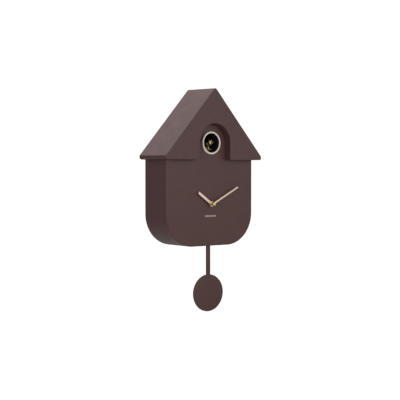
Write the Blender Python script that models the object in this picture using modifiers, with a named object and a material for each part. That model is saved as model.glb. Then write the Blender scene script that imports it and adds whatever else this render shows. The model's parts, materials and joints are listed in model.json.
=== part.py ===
"""Battery cuckoo clock for a wall: a gabled roof shell over a rounded body shell, a bird in a
round opening, two hands, a swinging pendulum, and the works inside.

Metres.  +X is right as seen from the front, the front faces -Y, +Z is up.  The origin is the
point on the wall where the nail carries the clock, so the wall is the plane y = 0.
Heights are given from the eave line, the lower edge of the roof."""
import math

import bmesh
import bpy
from mathutils import Matrix, Vector

# ---------------------------------------------------------------- driving dimensions
ROOF_WIDTH = 0.215
ROOF_DEPTH = 0.080
ROOF_PEAK = 0.1288            # height of the sharp gable point
EAVE_HEIGHT = 0.0066          # upright edge below each slope
PEAK_RADIUS = 0.004
EAVE_RADIUS = 0.003
EAVE_FOOT_RADIUS = 0.003      # lower edge of the eave
ROOF_DRAFT = 0.0017           # how much larger the roof outline is at the wall
EDGE_CHAMFER = 0.0008
ROOF_OVERHANG = 0.0106        # of the roof past each side of the body
BODY_WIDTH = ROOF_WIDTH - 2 * ROOF_OVERHANG
BODY_DROP = 0.1545
BODY_CORNER = 0.0575
BODY_SETBACK = 0.0148         # body front behind the roof front
SHOULDER_HEIGHT = 0.008       # how far the body sides stand up inside the roof
HOOK_HEIGHT = 0.080           # nail above the eave line
WALL = 0.0022
GAP = 0.0003                  # between pieces that rest on each other
CLEARANCE = 0.0004            # round a piece that drops into an opening

ARCH_RADIUS = 0.0344          # recess in the roof front
BIRD_HEIGHT = 0.030           # centre of the arch and of the bird's ring
TONGUE_MARGIN = 0.0036        # body panel beyond the recess

RING_RADIUS = 0.02035
RING_BORE = 0.0173
RING_PROUD = 0.00425
SLEEVE_RADIUS = 0.0184
SLEEVE_LENGTH = 0.0039
TUNNEL_WALL = 0.0012
TUNNEL_LENGTH = 0.0387
HEAD_RADIUS = 0.0048
BIRD_FORWARD = 0.014          # travel out of the ring
BIRD_BACK = 0.006             # travel into the tunnel

HAND_HEIGHT = -0.0794         # axis of the hands
MINUTE_LENGTH = 0.0645
MINUTE_WIDTH = 0.0029
MINUTE_ANGLE = math.radians(62.5)
HOUR_LENGTH = 0.036
HOUR_WIDTH = 0.0047
HOUR_ANGLE = math.radians(305)
HAND_THICKNESS = 0.0008

MOVEMENT_SIZE = 0.056
MOVEMENT_DEPTH = 0.0156
MOVEMENT_WALL = 0.0014
BUSH_RADIUS = 0.0038
BUSH_WALL = 0.0009
MINUTE_ARBOR_RADIUS = 0.0014
ARBOR_RADIUS = 0.0006
RUNNING = 0.00035             # radial play of a turning shaft
TOOTH_MODULE = 0.0005
HOUR_MODULE = 0.00048         # gives hour and minute wheels the same centre distance
TOOTH_TIP = 0.8               # in modules, outside the pitch circle
TOOTH_ROOT = 1.4              # in modules, inside the pitch circle

PIVOT_DROP = 0.0066           # pendulum pivot below the movement
PIVOT_HEIGHT = HAND_HEIGHT - MOVEMENT_SIZE / 2 - PIVOT_DROP
DISC_HEIGHT = -0.240
DISC_RADIUS = 0.0335
DISC_THICKNESS = 0.0055
ROD_WIDTH = 0.008
ROD_THICKNESS = 0.0035
ROD_SETBACK = 0.00685         # rod's middle behind the body front
SLOT_WIDTH = 0.026
SLOT_PLAY = 0.0011

COVER_SETBACK = 0.008         # back cover in front of the wall
COVER_THICKNESS = 0.0025
BOSS_RADIUS = 0.004
SCREW_RADIUS = 0.0011
CELL_RADIUS = 0.0071
CELL_LENGTH = 0.0505
CELL_PITCH = 2 * CELL_RADIUS + 0.0012
SPEAKER_RADIUS = 0.025
BOARD_THICKNESS = 0.0016

# ---------------------------------------------------------------- places worked out from them
EAVE_Z = -HOOK_HEIGHT
ROOF_FRONT = -ROOF_DEPTH
BODY_FRONT = ROOF_FRONT + BODY_SETBACK
PANEL_BACK = BODY_FRONT + WALL
COVER_BACK = -COVER_SETBACK
COVER_FRONT = COVER_BACK - COVER_THICKNESS
HALF_PEAK = math.atan2(ROOF_WIDTH / 2, ROOF_PEAK - EAVE_HEIGHT)
BIRD_Z = EAVE_Z + BIRD_HEIGHT
ROD_Y = BODY_FRONT + ROD_SETBACK
HAND_Z = EAVE_Z + HAND_HEIGHT
PIVOT_Z = EAVE_Z + PIVOT_HEIGHT
WELD = 0.000002
ROUND = 16                    # sides of a small round piece
FINE = 28                     # sides of a large round piece

ROOF_BOSS = (0.020, EAVE_Z + 0.088)
DRIVE_HALF = 0.022
BODY_BOSS = (DRIVE_HALF + BOSS_RADIUS + 0.002, EAVE_Z - BODY_DROP + 0.0125)
BOSS_END = COVER_FRONT - GAP
BOSS_BORE_DEPTH = 0.013
OVERCUT = 0.001
TRAY_WALL = 0.0012
TRAY_END_ROOM = 0.0085        # for the contacts and springs at the two ends together
CONTACT_THICKNESS = 0.0005
CONTACT_WIDTH = 0.009
NUB_HEIGHT = 0.0012
NUB_RADIUS = 0.0026
SPRING_WIRE = 0.0004
CONTROL_X = BODY_WIDTH / 2 - 0.0309
VOLUME_PLACE = (CONTROL_X, EAVE_Z - 0.018)
SWITCH_PLACE = (CONTROL_X, EAVE_Z - 0.034)
TEST_PLACE = (CONTROL_X, EAVE_Z - 0.049)
KNOB_RADIUS = 0.006
BUTTON_RADIUS = 0.003
SWITCH_TRAVEL = 0.005
SWITCH_HALF = 0.002
STEM_RADIUS = 0.0012
STEM_HOLE = 0.0025
NAIL_SLOT_HALF = 0.00225
NAIL_HOLE_RADIUS = 0.0045
NAIL_DROP = 0.010             # centre of the keyhole's round end below the nail
BOARD_BACK = COVER_FRONT - 0.0103
BOARD_X = (CONTROL_X - 0.036, CONTROL_X + 0.012)
BOARD_Z = (EAVE_Z - 0.058, EAVE_Z - 0.008)
TRAY_HALF = 1.5 * CELL_PITCH + CLEARANCE
TRAY_CENTRE = (-TRAY_HALF - TRAY_WALL - 0.0233, EAVE_Z - 0.032)
TRAY_TALL = (CELL_LENGTH + TRAY_END_ROOM) / 2
TRAY_FLOOR = COVER_FRONT - GAP - 2 * CELL_RADIUS - 2 * CLEARANCE
CELL_Y = TRAY_FLOOR + CELL_RADIUS + CLEARANCE
BUTTON_TRAVEL = 0.0012
BASKET_DEPTH = 0.013
MAGNET_RADIUS = 0.52 * SPEAKER_RADIUS
TUNNEL_START = PANEL_BACK + GAP
SLEEVE_END = BODY_FRONT - GAP + SLEEVE_LENGTH
TUNNEL_END = TUNNEL_START + TUNNEL_LENGTH
TUNNEL_BORE = RING_BORE + 0.0002
FLANGE_RADIUS = 0.024
SOCKET_RADIUS = SLEEVE_RADIUS + CLEARANCE
POST_HALF = 0.0015
POST_REACH = 0.002
POST_Y = TUNNEL_END - TUNNEL_WALL - 0.011
PERCH_TOP = BIRD_Z - 0.0108
PERCH_HALF = 0.005
RACK_MODULE = 0.0008
RACK_PINION_TEETH = 10
GEAR_Y = POST_Y - 0.001
WHEEL_TEETH = 36
MOTOR_TEETH = 9
WHEEL_X = (0.0052, 0.0066)
RACK_HALF = 0.0020
FRAME_HALF = 0.011
FRAME_WALL = 0.0015
CARRIAGE_TOP = BIRD_Z - TUNNEL_BORE - TUNNEL_WALL - CLEARANCE
CARRIAGE_THICKNESS = 0.0014
GEAR_Z = (CARRIAGE_TOP - CARRIAGE_THICKNESS - CLEARANCE
          - TOOTH_MODULE * (WHEEL_TEETH / 2 + TOOTH_TIP))
MOTOR_RADIUS = 0.006
AXLE_RADIUS = 0.001
MOVEMENT_FRONT = PANEL_BACK + 0.0014
CASE_BACK = MOVEMENT_FRONT + MOVEMENT_DEPTH
PLATE_BACK = MOVEMENT_FRONT + 0.0015
LAYER = 0.0010                # thickness of a gear
NUT_FLAT_RADIUS = 0.0050
NUT_THICKNESS = 0.0023
BUSH_PROUD = 0.0031           # in front of the body
HOUR_PROUD = 0.0039           # back of the hour hand in front of the body
MINUTE_PROUD = 0.0076
CAP_PROUD = 0.0126
HOUR_TUBE_RADIUS = 0.0025
HUB_RADIUS = 0.00475
CAP_RADIUS = 0.0033
ARBOR_END = CASE_BACK + 0.0012
CENTRE_TEETH, DRIVEN_TEETH, LEAF_TEETH = 48, 40, 8
CANNON_TEETH, MINUTE_TEETH = 12, 36
IDLE_TEETH, HOUR_TEETH = 10, 40
HOUR_LAYER, MINUTE_LAYER, CENTRE_LAYER, THIRD_LAYER, SECOND_LAYER = (
    PLATE_BACK + rise for rise in (0.0005, 0.0023, 0.0042, 0.0062, 0.0082))
ROTOR_LAYER = PLATE_BACK + 0.0102
LEAF = 0.0003                 # how much longer a pinion is than its wheel, at each end
DRIVE_FRONT = BODY_FRONT + 0.0112
DRIVE_BACK = DRIVE_FRONT + 0.016
DRIVE_TOP = HAND_Z - MOVEMENT_SIZE / 2 - 0.0011
DRIVE_BOTTOM = PIVOT_Z - 0.0225
PIN_RADIUS = 0.00125
HANGER_THICKNESS = 0.0018
MAGNET_Z = PIVOT_Z - 0.0125
PEG_Z = PIVOT_Z - 0.006
PEG_RADIUS = 0.0012
PENDULUM_MAGNET_RADIUS = 0.004

# covers, battery door and screws
DOOR_CORNER = 0.002
GRILLE_MARGIN = 0.005           # from the speaker's rim to the outermost slot end
GRILLE_PITCH = 0.0056
GRILLE_HALF = 0.0011
POST_RADIUS = 0.0025            # posts that hold the main board
POST_INSET = 0.0035             # of the posts from the board's edges
SCREW_HEAD_RADIUS = 0.0026
SCREW_HEAD_TOP = 0.0016
SCREW_HEAD_RISE = 0.0016
SCREW_HEAD_SIDE = 0.0007
SCREW_LENGTH = 0.0120
SCREW_POINT = 0.0014
RIB_HALF = 0.012                # thumb ribs on the battery door
RIB_RISE = 0.001
RIB_WIDTH = 0.0012
RIB_PITCH = 0.003
RIB_PLACE = 0.020               # above the door's centre
SOFT = 0.0006                   # broken edges of small turned pieces
CELL_EDGE = 0.0004
SPRING_TURNS = 2.5
SPRING_RADII = (0.0040, 0.0016)  # base radius, and how much it narrows by the tip

# sound board
POT_HALF, POT_RISE = 0.0055, 0.0030
SWITCH_BODY_HALF, SWITCH_RISE = 0.0045, 0.0032
TEST_BODY_HALF, TEST_RISE = 0.0035, 0.0018
CHIP_X = (BOARD_X[0] + 0.010, BOARD_X[0] + 0.020)
CHIP_Z = (EAVE_Z - 0.046, EAVE_Z - 0.038)
CHIP_RISE = 0.0022
VOLUME_PROUD = 0.0035           # behind the cover's back face
VOLUME_SPIGOT = 0.003
MARK_HALF = 0.0006              # pointer notch in the volume knob
MARK_DEPTH = 0.0012
SWITCH_PROUD = 0.002
TEST_PROUD = 0.0025
FLANGE = 0.001                  # of the test button, out and deep

# speaker
BASKET_WALL = 0.0010
BASKET_RIM = 0.0015
CONE_MARGIN = 0.0035
CONE_FOOT = 0.004               # radius where the basket is open for the coil
CONE_GAP = 0.0006
CONE_ROLL = 0.0008
CONE_SKIN = 0.0005
THROAT_RADIUS = MAGNET_RADIUS / 2
THROAT_RISE = 0.0042
DUST_CAP_RISE = 0.0060
MAGNET_DEPTH = 0.005

# ring and bird
RING_BEVEL = 0.0012
HEAD_PLACE = (0.0, BODY_FRONT + 0.001, BIRD_Z + 0.0014)
BEAK_RADIUS, BEAK_POINT = 0.0014, 0.0003
BEAK_ROOT = (-0.0036, -0.0006)  # back and down from the head's centre
BEAK_TIP = (-0.0082, -0.0014)
WAIST_PLACE = (0.0, BODY_FRONT + 0.0095, BIRD_Z - 0.0034)
WAIST_RADII = (0.0057, 0.0094, 0.0054)
WAIST_TILT = math.radians(-26)
TAIL_PLACE = (0.0, BODY_FRONT + 0.0215, BIRD_Z - 0.0076)
TAIL_RADII = (0.0034, 0.0084, 0.0013)
TAIL_TILT = math.radians(-10)
WING_OFFSET = (0.0052, 0.0022, 0.0004)
WING_RADII = (0.0016, 0.0080, 0.0034)
WING_TILT = math.radians(-24)
LEG_PLACE = (0.0026, -0.001)    # from the middle of the body
LEG_RADIUS = 0.0009
PERCH_START = BODY_FRONT + 0.0045
PERCH_THICKNESS = 0.0016

# bird drive
RACK_SPARE = 0.002              # teeth beyond the travel, at each end
FOOT_REACH = 0.005
SHAFT_RADIUS = 0.0020
MOTOR_STANDOFF = 0.0014

# movement, hands and pendulum
CASE_COVER = 0.0014
CAP_EDGE = 0.0008
HUB_THICKNESS = 0.0012
HOUR_TUBE_PROUD = 0.0020        # tube in front of the hour hand's hub
ARBOR_REACH = 0.0006            # of the minute arbor into the cap
WASHER_RADIUS = 0.010
SETTING_RADIUS = 0.007
SETTING_RISE, SETTING_SOCKET = 0.0045, 0.0016
GRIP_REACH, GRIP_RADIUS = 0.0074, 0.0012
GRIPS = 8
ROTOR_RADIUS, ROTOR_LENGTH = 0.003, 0.0015
STATOR_X = (-0.0245, 0.0145)
STATOR_LEG, STATOR_YOKE, STATOR_TOP = 0.0025, 0.0040, 0.0058
STATOR_BORE = 0.0036
STATOR_THICKNESS = 0.0009
COIL_DROP = 0.0228              # below the hands' axis
CORE_RADIUS, WINDING_RADIUS, COIL_FLANGE = 0.0012, 0.0022, 0.0026
COIL_REACH = 0.0155
CHEEK = 0.001                   # thickness of the coil's end cheeks
CLOCK_BOARD_X = (0.005, 0.025)
CLOCK_BOARD_Z = (0.003, 0.025)  # above the hands' axis
CLOCK_BOARD_GAP, CLOCK_BOARD_THICKNESS = 0.0016, 0.0010
PIN_HEAD_RADIUS, PIN_HEAD = 0.0020, 0.001
DRIVE_COIL = (0.0025, 0.008, 0.006)   # bore, outside radius, length
HANGER_HALF, HANGER_EYE = 0.003, 0.0038
MAGNET_WALL = 0.002
PEG_REACH = 0.0009              # in front of the rod
ROD_TOP = PIVOT_Z - 0.0035
ROD_CORNER = 0.001
ROD_SEAT = 0.0015               # how far the rod goes into the disc
DISC_EDGE, DISC_DOME = 0.0013, 0.0007
DOME_SHARE, DOME_FALL = 0.55, 0.3     # of the radius, and of the dome's height there

# wiring, (x, y, height above the eave line)
PLUG_X = (BOARD_X[0] + 0.004, BOARD_X[0] + 0.020)
PLUG_Z, PLUG_DEPTH = (EAVE_Z - 0.036, EAVE_Z - 0.022), 0.0045
LEAD_INSET = 0.0025             # of the leads' starts from the plug's back
LEAD_RADIUS = 0.0008
LEAD_END = 0.0012               # short of the piece each lead serves


def polar(distance, degrees, start=(0.0, 0.0)):
    """A place at a distance and direction from another, in the plane of the dial."""
    angle = math.radians(degrees)
    return (start[0] + distance * math.cos(angle), start[1] + distance * math.sin(angle))


def mesh_distance(first, second):
    """Centre distance of two meshing gears."""
    return TOOTH_MODULE * (first + second) / 2


MINUTE_WHEEL = (mesh_distance(CANNON_TEETH, MINUTE_TEETH), 0.0)
SETTING_TURN = -60.0
THIRD_TURN, SECOND_TURN, ROTOR_TURN = 150.0, -100.0, -60.0
SETTING = polar(mesh_distance(CANNON_TEETH, MINUTE_TEETH), SETTING_TURN, MINUTE_WHEEL)
THIRD = polar(mesh_distance(CENTRE_TEETH, LEAF_TEETH), THIRD_TURN)
SECOND = polar(mesh_distance(DRIVEN_TEETH, LEAF_TEETH), SECOND_TURN, THIRD)
ROTOR = polar(mesh_distance(DRIVEN_TEETH, LEAF_TEETH), ROTOR_TURN, SECOND)
SPEAKER_PLACE = (SETTING[0] + SPEAKER_RADIUS + 0.0085, EAVE_Z - 0.100)

PARTS = None
CUTTERS = None


# ---------------------------------------------------------------- scene and materials
def clear_scene():
    """Empty the scene and make the collections for the parts and for the cutters."""
    global PARTS, CUTTERS
    for old in list(bpy.data.objects):
        bpy.data.objects.remove(old)
    PARTS = bpy.data.collections.new("cuckoo_clock")
    CUTTERS = bpy.data.collections.new("cutters")
    for group in (PARTS, CUTTERS):
        bpy.context.scene.collection.children.link(group)


def paint(name, colour, roughness, metallic=0.0):
    """One Principled material."""
    material = bpy.data.materials.new(name)
    material.use_nodes = True
    shader = material.node_tree.nodes["Principled BSDF"]
    shader.inputs["Base Color"].default_value = (*colour, 1.0)
    shader.inputs["Roughness"].default_value = roughness
    shader.inputs["Metallic"].default_value = metallic
    material.diffuse_color = (*colour, 1.0)
    return material


BROWN = (0.082, 0.056, 0.052)
BLACK = (0.012, 0.012, 0.013)
DARK_GREY = (0.06, 0.06, 0.065)
CHAMPAGNE = (0.75, 0.66, 0.56)
ROSE_GOLD = (0.60, 0.44, 0.35)
GOLD = (0.70, 0.47, 0.16)
STEEL = (0.55, 0.55, 0.56)
WHITE_PLASTIC = (0.75, 0.75, 0.72)
BOARD_GREEN = (0.03, 0.16, 0.07)
COPPER = (0.62, 0.26, 0.12)


# ---------------------------------------------------------------- shapes, as meshes in place
def finished(bm):
    """Turn a bmesh into a mesh with its faces pointing out."""
    bmesh.ops.recalc_face_normals(bm, faces=bm.faces)
    if bm.calc_volume(signed=True) < 0:
        bmesh.ops.reverse_faces(bm, faces=bm.faces)
    mesh = bpy.data.meshes.new("shape")
    bm.to_mesh(mesh)
    bm.free()
    return mesh


def welded(obj):
    """The evaluated mesh of a curve or of a modified object, in world coordinates, welded."""
    bpy.context.scene.collection.objects.link(obj)
    bpy.context.view_layer.update()
    graph = bpy.context.evaluated_depsgraph_get()
    mesh = bpy.data.meshes.new_from_object(obj.evaluated_get(graph))
    mesh.transform(obj.matrix_world)
    bm = bmesh.new()
    bm.from_mesh(mesh)
    bmesh.ops.remove_doubles(bm, verts=bm.verts, dist=WELD)
    bmesh.ops.dissolve_degenerate(bm, edges=bm.edges, dist=WELD)
    bpy.data.objects.remove(obj)
    return finished(bm)


def box(x_range, y_range, z_range):
    """A box between three pairs of limits."""
    bm = bmesh.new()
    bmesh.ops.create_cube(bm, size=1.0)
    limits = (x_range, y_range, z_range)
    size = [abs(high - low) for low, high in limits]
    centre = [(high + low) / 2 for low, high in limits]
    bm.transform(Matrix.Translation(centre) @ Matrix.Diagonal((*size, 1.0)))
    return finished(bm)


def rod(start, end, radius, sides=ROUND, end_radius=None):
    """A round bar between two points, tapered if end_radius is given."""
    start, end = Vector(start), Vector(end)
    along = end - start
    bm = bmesh.new()
    tip = radius if end_radius is None else end_radius
    bmesh.ops.create_cone(bm, cap_ends=True, segments=sides, radius1=radius, radius2=tip,
                          depth=along.length)
    turn = along.to_track_quat("Z", "Y").to_matrix().to_4x4()
    bm.transform(Matrix.Translation((start + end) / 2) @ turn)
    return finished(bm)


def rod_y(x, z, radius, y_start, y_end, sides=ROUND):
    """A round bar along Y."""
    return rod((x, y_start, z), (x, y_end, z), radius, sides)


def ball(centre, radii, tilt=0.0, sides=16):
    """An ellipsoid, tilted about X."""
    bm = bmesh.new()
    bmesh.ops.create_uvsphere(bm, u_segments=sides, v_segments=sides // 2, radius=1.0)
    place = Matrix.Translation(centre) @ Matrix.Rotation(tilt, 4, "X")
    bm.transform(place @ Matrix.Diagonal((*radii, 1.0)))
    return finished(bm)


def turned(profile, base, direction, steps=ROUND, ring=False):
    """A turned shape: (radius, height) points from the top down the outer side.

    A ring closes its profile; any other profile starts and ends on the axis."""
    mesh = bpy.data.meshes.new("profile")
    count = len(profile)
    edges = [(i, i + 1) for i in range(count - 1)]
    if ring:
        edges.append((count - 1, 0))
    mesh.from_pydata([(radius, 0.0, height) for radius, height in profile], edges, [])
    obj = bpy.data.objects.new("profile", mesh)
    screw = obj.modifiers.new("turn", "SCREW")
    screw.steps = steps
    screw.render_steps = steps
    screw.use_merge_vertices = True
    screw.merge_threshold = WELD
    turn = Vector(direction).to_track_quat("Z", "Y").to_matrix().to_4x4()
    obj.matrix_world = Matrix.Translation(base) @ turn
    return welded(obj)


FACING = {
    "Y": Matrix(((1, 0, 0, 0), (0, 0, -1, 0), (0, 1, 0, 0), (0, 0, 0, 1))),
    "X": Matrix(((0, 0, 1, 0), (1, 0, 0, 0), (0, 1, 0, 0), (0, 0, 0, 1))),
}


def plate(outlines, low, high, axis="Y"):
    """A flat piece: the first outline less the others, between two places along the axis.

    An outline across Y holds (x, z) points, one across X holds (y, z) points."""
    curve = bpy.data.curves.new("outline", "CURVE")
    curve.dimensions = "2D"
    curve.fill_mode = "BOTH"
    curve.extrude = abs(high - low) / 2
    for outline in outlines:
        spline = curve.splines.new("POLY")
        spline.points.add(len(outline) - 1)
        for point, (across, up) in zip(spline.points, outline):
            point.co = (across, up, 0.0, 1.0)
        spline.use_cyclic_u = True
    obj = bpy.data.objects.new("outline", curve)
    middle = (low + high) / 2
    shift = (0.0, middle, 0.0) if axis == "Y" else (middle, 0.0, 0.0)
    obj.matrix_world = Matrix.Translation(shift) @ FACING[axis]
    return welded(obj)


def loft(sections):
    """A closed solid through outlines with equal point counts, each (outline, y)."""
    bm = bmesh.new()
    rows = [[bm.verts.new((x, y, z)) for x, z in outline] for outline, y in sections]
    bm.faces.new(rows[0])
    bm.faces.new(rows[-1])
    for near, far in zip(rows, rows[1:]):
        for i, vertex in enumerate(near):
            bm.faces.new((near[i - 1], vertex, far[i], far[i - 1]))
    return finished(bm)


def tube(points, radius):
    """A round wire along points."""
    curve = bpy.data.curves.new("wire", "CURVE")
    curve.dimensions = "3D"
    curve.bevel_depth = radius
    curve.bevel_resolution = 2
    curve.use_fill_caps = True
    spline = curve.splines.new("POLY")
    spline.points.add(len(points) - 1)
    for point, place in zip(spline.points, points):
        point.co = (*place, 1.0)
    return welded(bpy.data.objects.new("wire", curve))


# ---------------------------------------------------------------- outlines
def rounded(corners):
    """A closed outline through corners (x, z, radius, steps), each corner an arc."""
    points = []
    for i, (x, z, radius, steps) in enumerate(corners):
        here = Vector((x, z))
        if radius == 0:
            points.append(here)
            continue
        back = (Vector(corners[i - 1][:2]) - here).normalized()
        ahead = (Vector(corners[(i + 1) % len(corners)][:2]) - here).normalized()
        half = back.angle(ahead) / 2
        reach = radius / math.tan(half)
        centre = here + (back + ahead).normalized() * (radius / math.sin(half))
        first = here + back * reach - centre
        last = here + ahead * reach - centre
        sweep = math.remainder(math.atan2(last.y, last.x) - math.atan2(first.y, first.x), math.tau)
        for step in range(steps + 1):
            angle = sweep * step / steps
            turn = Matrix.Rotation(angle, 2)
            points.append(centre + turn @ first)
    kept = [p for i, p in enumerate(points) if (p - points[i - 1]).length > WELD]
    return [(p.x, p.y) for p in kept]


def circle(x, z, radius, sides=ROUND):
    """A round outline."""
    turns = [math.tau * i / sides for i in range(sides)]
    return [(x + radius * math.cos(t), z + radius * math.sin(t)) for t in turns]


def rectangle(x_range, z_range, radius=0.0, steps=3):
    """A rectangular outline with rounded corners."""
    (left, right), (low, high) = x_range, z_range
    return rounded([(x, z, radius, steps) for x, z in
                    ((left, low), (right, low), (right, high), (left, high))])


def roof_outline(grow, floor, foot=0.0):
    """The gable outline, moved out by grow, down to the floor height, with rounded feet."""
    half = ROOF_WIDTH / 2 + grow
    peak = EAVE_Z + ROOF_PEAK + grow / math.sin(HALF_PEAK)
    eave = peak - half / math.tan(HALF_PEAK)
    return rounded([(half, floor, foot, 4), (half, eave, EAVE_RADIUS, 4),
                    (0.0, peak, PEAK_RADIUS, 6), (-half, eave, EAVE_RADIUS, 4),
                    (-half, floor, foot, 4)])


def body_corners(grow):
    """The two rounded lower corners of the body outline, moved out by grow."""
    half = BODY_WIDTH / 2 + grow
    low = EAVE_Z - BODY_DROP - grow
    radius = BODY_CORNER + grow
    return [(-half, low, radius, 9), (half, low, radius, 9)]


def body_outline(grow):
    """The body with the tongue that closes the recess in the roof."""
    half = BODY_WIDTH / 2 + grow
    shoulder = EAVE_Z + SHOULDER_HEIGHT
    tongue = ARCH_RADIUS + TONGUE_MARGIN + grow
    top = BIRD_Z + tongue
    right = [(half, shoulder, 0, 0), (tongue, shoulder, 0, 0), (tongue, top, tongue, 10)]
    left = [(-x, z, radius, steps) for x, z, radius, steps in reversed(right)]
    return rounded(body_corners(grow) + right + left)


def arch_outline(radius, floor):
    """The arch of the recess, straight sided below its centre."""
    top = BIRD_Z + radius
    return rounded([(radius, floor, 0, 0), (radius, top, radius, 10),
                    (-radius, top, radius, 10), (-radius, floor, 0, 0)])


def teeth(x, z, count, module, tooth_at):
    """A gear outline with one pointed tooth centred at the angle tooth_at."""
    pitch = math.tau / count
    tip = module * (count / 2 + TOOTH_TIP)
    root = module * (count / 2 - TOOTH_ROOT)
    points = []
    for i in range(count):
        middle = tooth_at + i * pitch
        for radius, angle in ((root, middle - pitch / 2), (tip, middle)):
            points.append((x + radius * math.cos(angle), z + radius * math.sin(angle)))
    return points


# ---------------------------------------------------------------- objects
def guide(name, mesh):
    """An object that only cuts or adds to a part."""
    obj = bpy.data.objects.new(name, mesh)
    CUTTERS.objects.link(obj)
    obj.hide_render = True
    obj.display_type = "WIRE"
    return obj


def plus(*shapes):
    """Steps that add shapes to a part."""
    return [("UNION", shape) for shape in shapes]


def minus(*shapes):
    """Steps that cut shapes from a part."""
    return [("DIFFERENCE", shape) for shape in shapes]


def part(name, mesh, material, steps=(), origin=(0.0, 0.0, 0.0), solver="EXACT"):
    """A named part with its origin, and then its steps in order."""
    mesh.name = name
    mesh.transform(Matrix.Translation(-Vector(origin)))
    mesh.materials.append(material)
    mesh.shade_smooth()
    mesh.set_sharp_from_angle(angle=math.radians(32))
    obj = bpy.data.objects.new(name, mesh)
    obj.location = origin
    PARTS.objects.link(obj)
    for i, (operation, shape) in enumerate(steps, 1):
        tool = obj.modifiers.new(f"step_{i}", "BOOLEAN")
        tool.operation = operation
        tool.solver = solver
        tool.object = guide(f"{name}_step_{i}", shape)
    return obj


# ---------------------------------------------------------------- casing


def bosses(place, root_y):
    """A pair of screw bosses and their bores."""
    solid, bores = [], []
    for side in (-1, 1):
        x, z = side * place[0], place[1]
        solid.append(rod_y(x, z, BOSS_RADIUS, root_y, BOSS_END, 16))
        bores.append(rod_y(x, z, SCREW_RADIUS + GAP, BOSS_END - BOSS_BORE_DEPTH,
                           BOSS_END + OVERCUT, 12))
    return solid, bores


def make_roof_shell():
    foot = EAVE_FOOT_RADIUS
    outer = loft([(roof_outline(-EDGE_CHAMFER, EAVE_Z, foot), ROOF_FRONT),
                  (roof_outline(0.0, EAVE_Z, foot), ROOF_FRONT + EDGE_CHAMFER),
                  (roof_outline(ROOF_DRAFT, EAVE_Z, foot), 0.0)])
    inside = EAVE_Z + WALL
    hollow = loft([(roof_outline(-WALL, inside), ROOF_FRONT + WALL),
                   (roof_outline(ROOF_DRAFT - WALL, inside), 0.0),
                   (roof_outline(ROOF_DRAFT - WALL, inside), OVERCUT)])
    sleeve_end = BODY_FRONT - GAP
    sleeve = plate([arch_outline(ARCH_RADIUS + WALL, EAVE_Z + WALL / 3)],
                   ROOF_FRONT + WALL / 2, sleeve_end)
    arch = plate([arch_outline(ARCH_RADIUS, EAVE_Z - OVERCUT)],
                 ROOF_FRONT - OVERCUT, sleeve_end + OVERCUT)
    half = BODY_WIDTH / 2 + GAP
    notch = box((-half, half), (sleeve_end, OVERCUT), (EAVE_Z - OVERCUT, inside + OVERCUT))
    solid, bores = bosses(ROOF_BOSS, ROOF_FRONT + WALL / 2)
    part("roof_shell", outer, paint("roof_plastic", BROWN, 0.55),
         minus(hollow) + plus(sleeve, *solid) + minus(arch, notch, *bores))


def make_body_shell():
    outer = loft([(body_outline(-EDGE_CHAMFER), BODY_FRONT),
                  (body_outline(0.0), BODY_FRONT + EDGE_CHAMFER),
                  (body_outline(0.0), 0.0)])
    top = EAVE_Z + ROOF_PEAK
    half = BODY_WIDTH / 2 - WALL
    hollow = plate([rounded(body_corners(-WALL) + [(half, top, 0, 0), (-half, top, 0, 0)])],
                   PANEL_BACK, OVERCUT)
    bird_hole = rod_y(0.0, BIRD_Z, SLEEVE_RADIUS + CLEARANCE, BODY_FRONT - OVERCUT,
                      PANEL_BACK + OVERCUT, FINE)
    hand_hole = rod_y(0.0, HAND_Z, BUSH_RADIUS + CLEARANCE, BODY_FRONT - OVERCUT,
                      PANEL_BACK + OVERCUT)
    low = EAVE_Z - BODY_DROP
    slot = box((-SLOT_WIDTH / 2, SLOT_WIDTH / 2),
               (ROD_Y - ROD_THICKNESS / 2 - SLOT_PLAY, ROD_Y + ROD_THICKNESS / 2 + SLOT_PLAY),
               (low - OVERCUT, low + WALL + OVERCUT))
    solid, bores = bosses(BODY_BOSS, BODY_FRONT + WALL / 2)
    part("body_shell", outer, paint("body_plastic", BROWN, 0.55),
         minus(hollow) + plus(*solid) + minus(bird_hole, hand_hole, slot, *bores))


# ---------------------------------------------------------------- back cover and batteries


def keyhole():
    """A round hole with a slot above it that ends round the nail."""
    meet = math.acos(NAIL_SLOT_HALF / NAIL_HOLE_RADIUS)
    sweep = math.tau - (math.pi - 2 * meet)
    points = []
    for i in range(17):
        angle = meet - sweep * i / 16
        points.append((NAIL_HOLE_RADIUS * math.cos(angle),
                       NAIL_HOLE_RADIUS * math.sin(angle) - NAIL_DROP))
    for i in range(9):
        angle = math.pi - math.pi * i / 8
        points.append((NAIL_SLOT_HALF * math.cos(angle), NAIL_SLOT_HALF * math.sin(angle)))
    return points


def cover_outline():
    """The inside of both shells, less the clearance."""
    grow = ROOF_DRAFT * (ROOF_DEPTH + COVER_FRONT) / ROOF_DEPTH - WALL - CLEARANCE
    half = BODY_WIDTH / 2 - WALL - CLEARANCE
    step = EAVE_Z + SHOULDER_HEIGHT + CLEARANCE
    peak = EAVE_Z + ROOF_PEAK + grow / math.sin(HALF_PEAK)
    wide = (peak - step) * math.tan(HALF_PEAK)
    return rounded(body_corners(-WALL - CLEARANCE)
                   + [(half, step, 0, 0), (wide, step, 0, 0), (0.0, peak, PEAK_RADIUS, 6),
                      (-wide, step, 0, 0), (-half, step, 0, 0)])


def door_opening(margin):
    """The battery opening, which shows the rim of the tray all round."""
    half = TRAY_HALF + TRAY_WALL - margin
    tall = TRAY_TALL + TRAY_WALL - margin
    x, z = TRAY_CENTRE
    return rectangle((x - half, x + half), (z - tall, z + tall), DOOR_CORNER)


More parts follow.
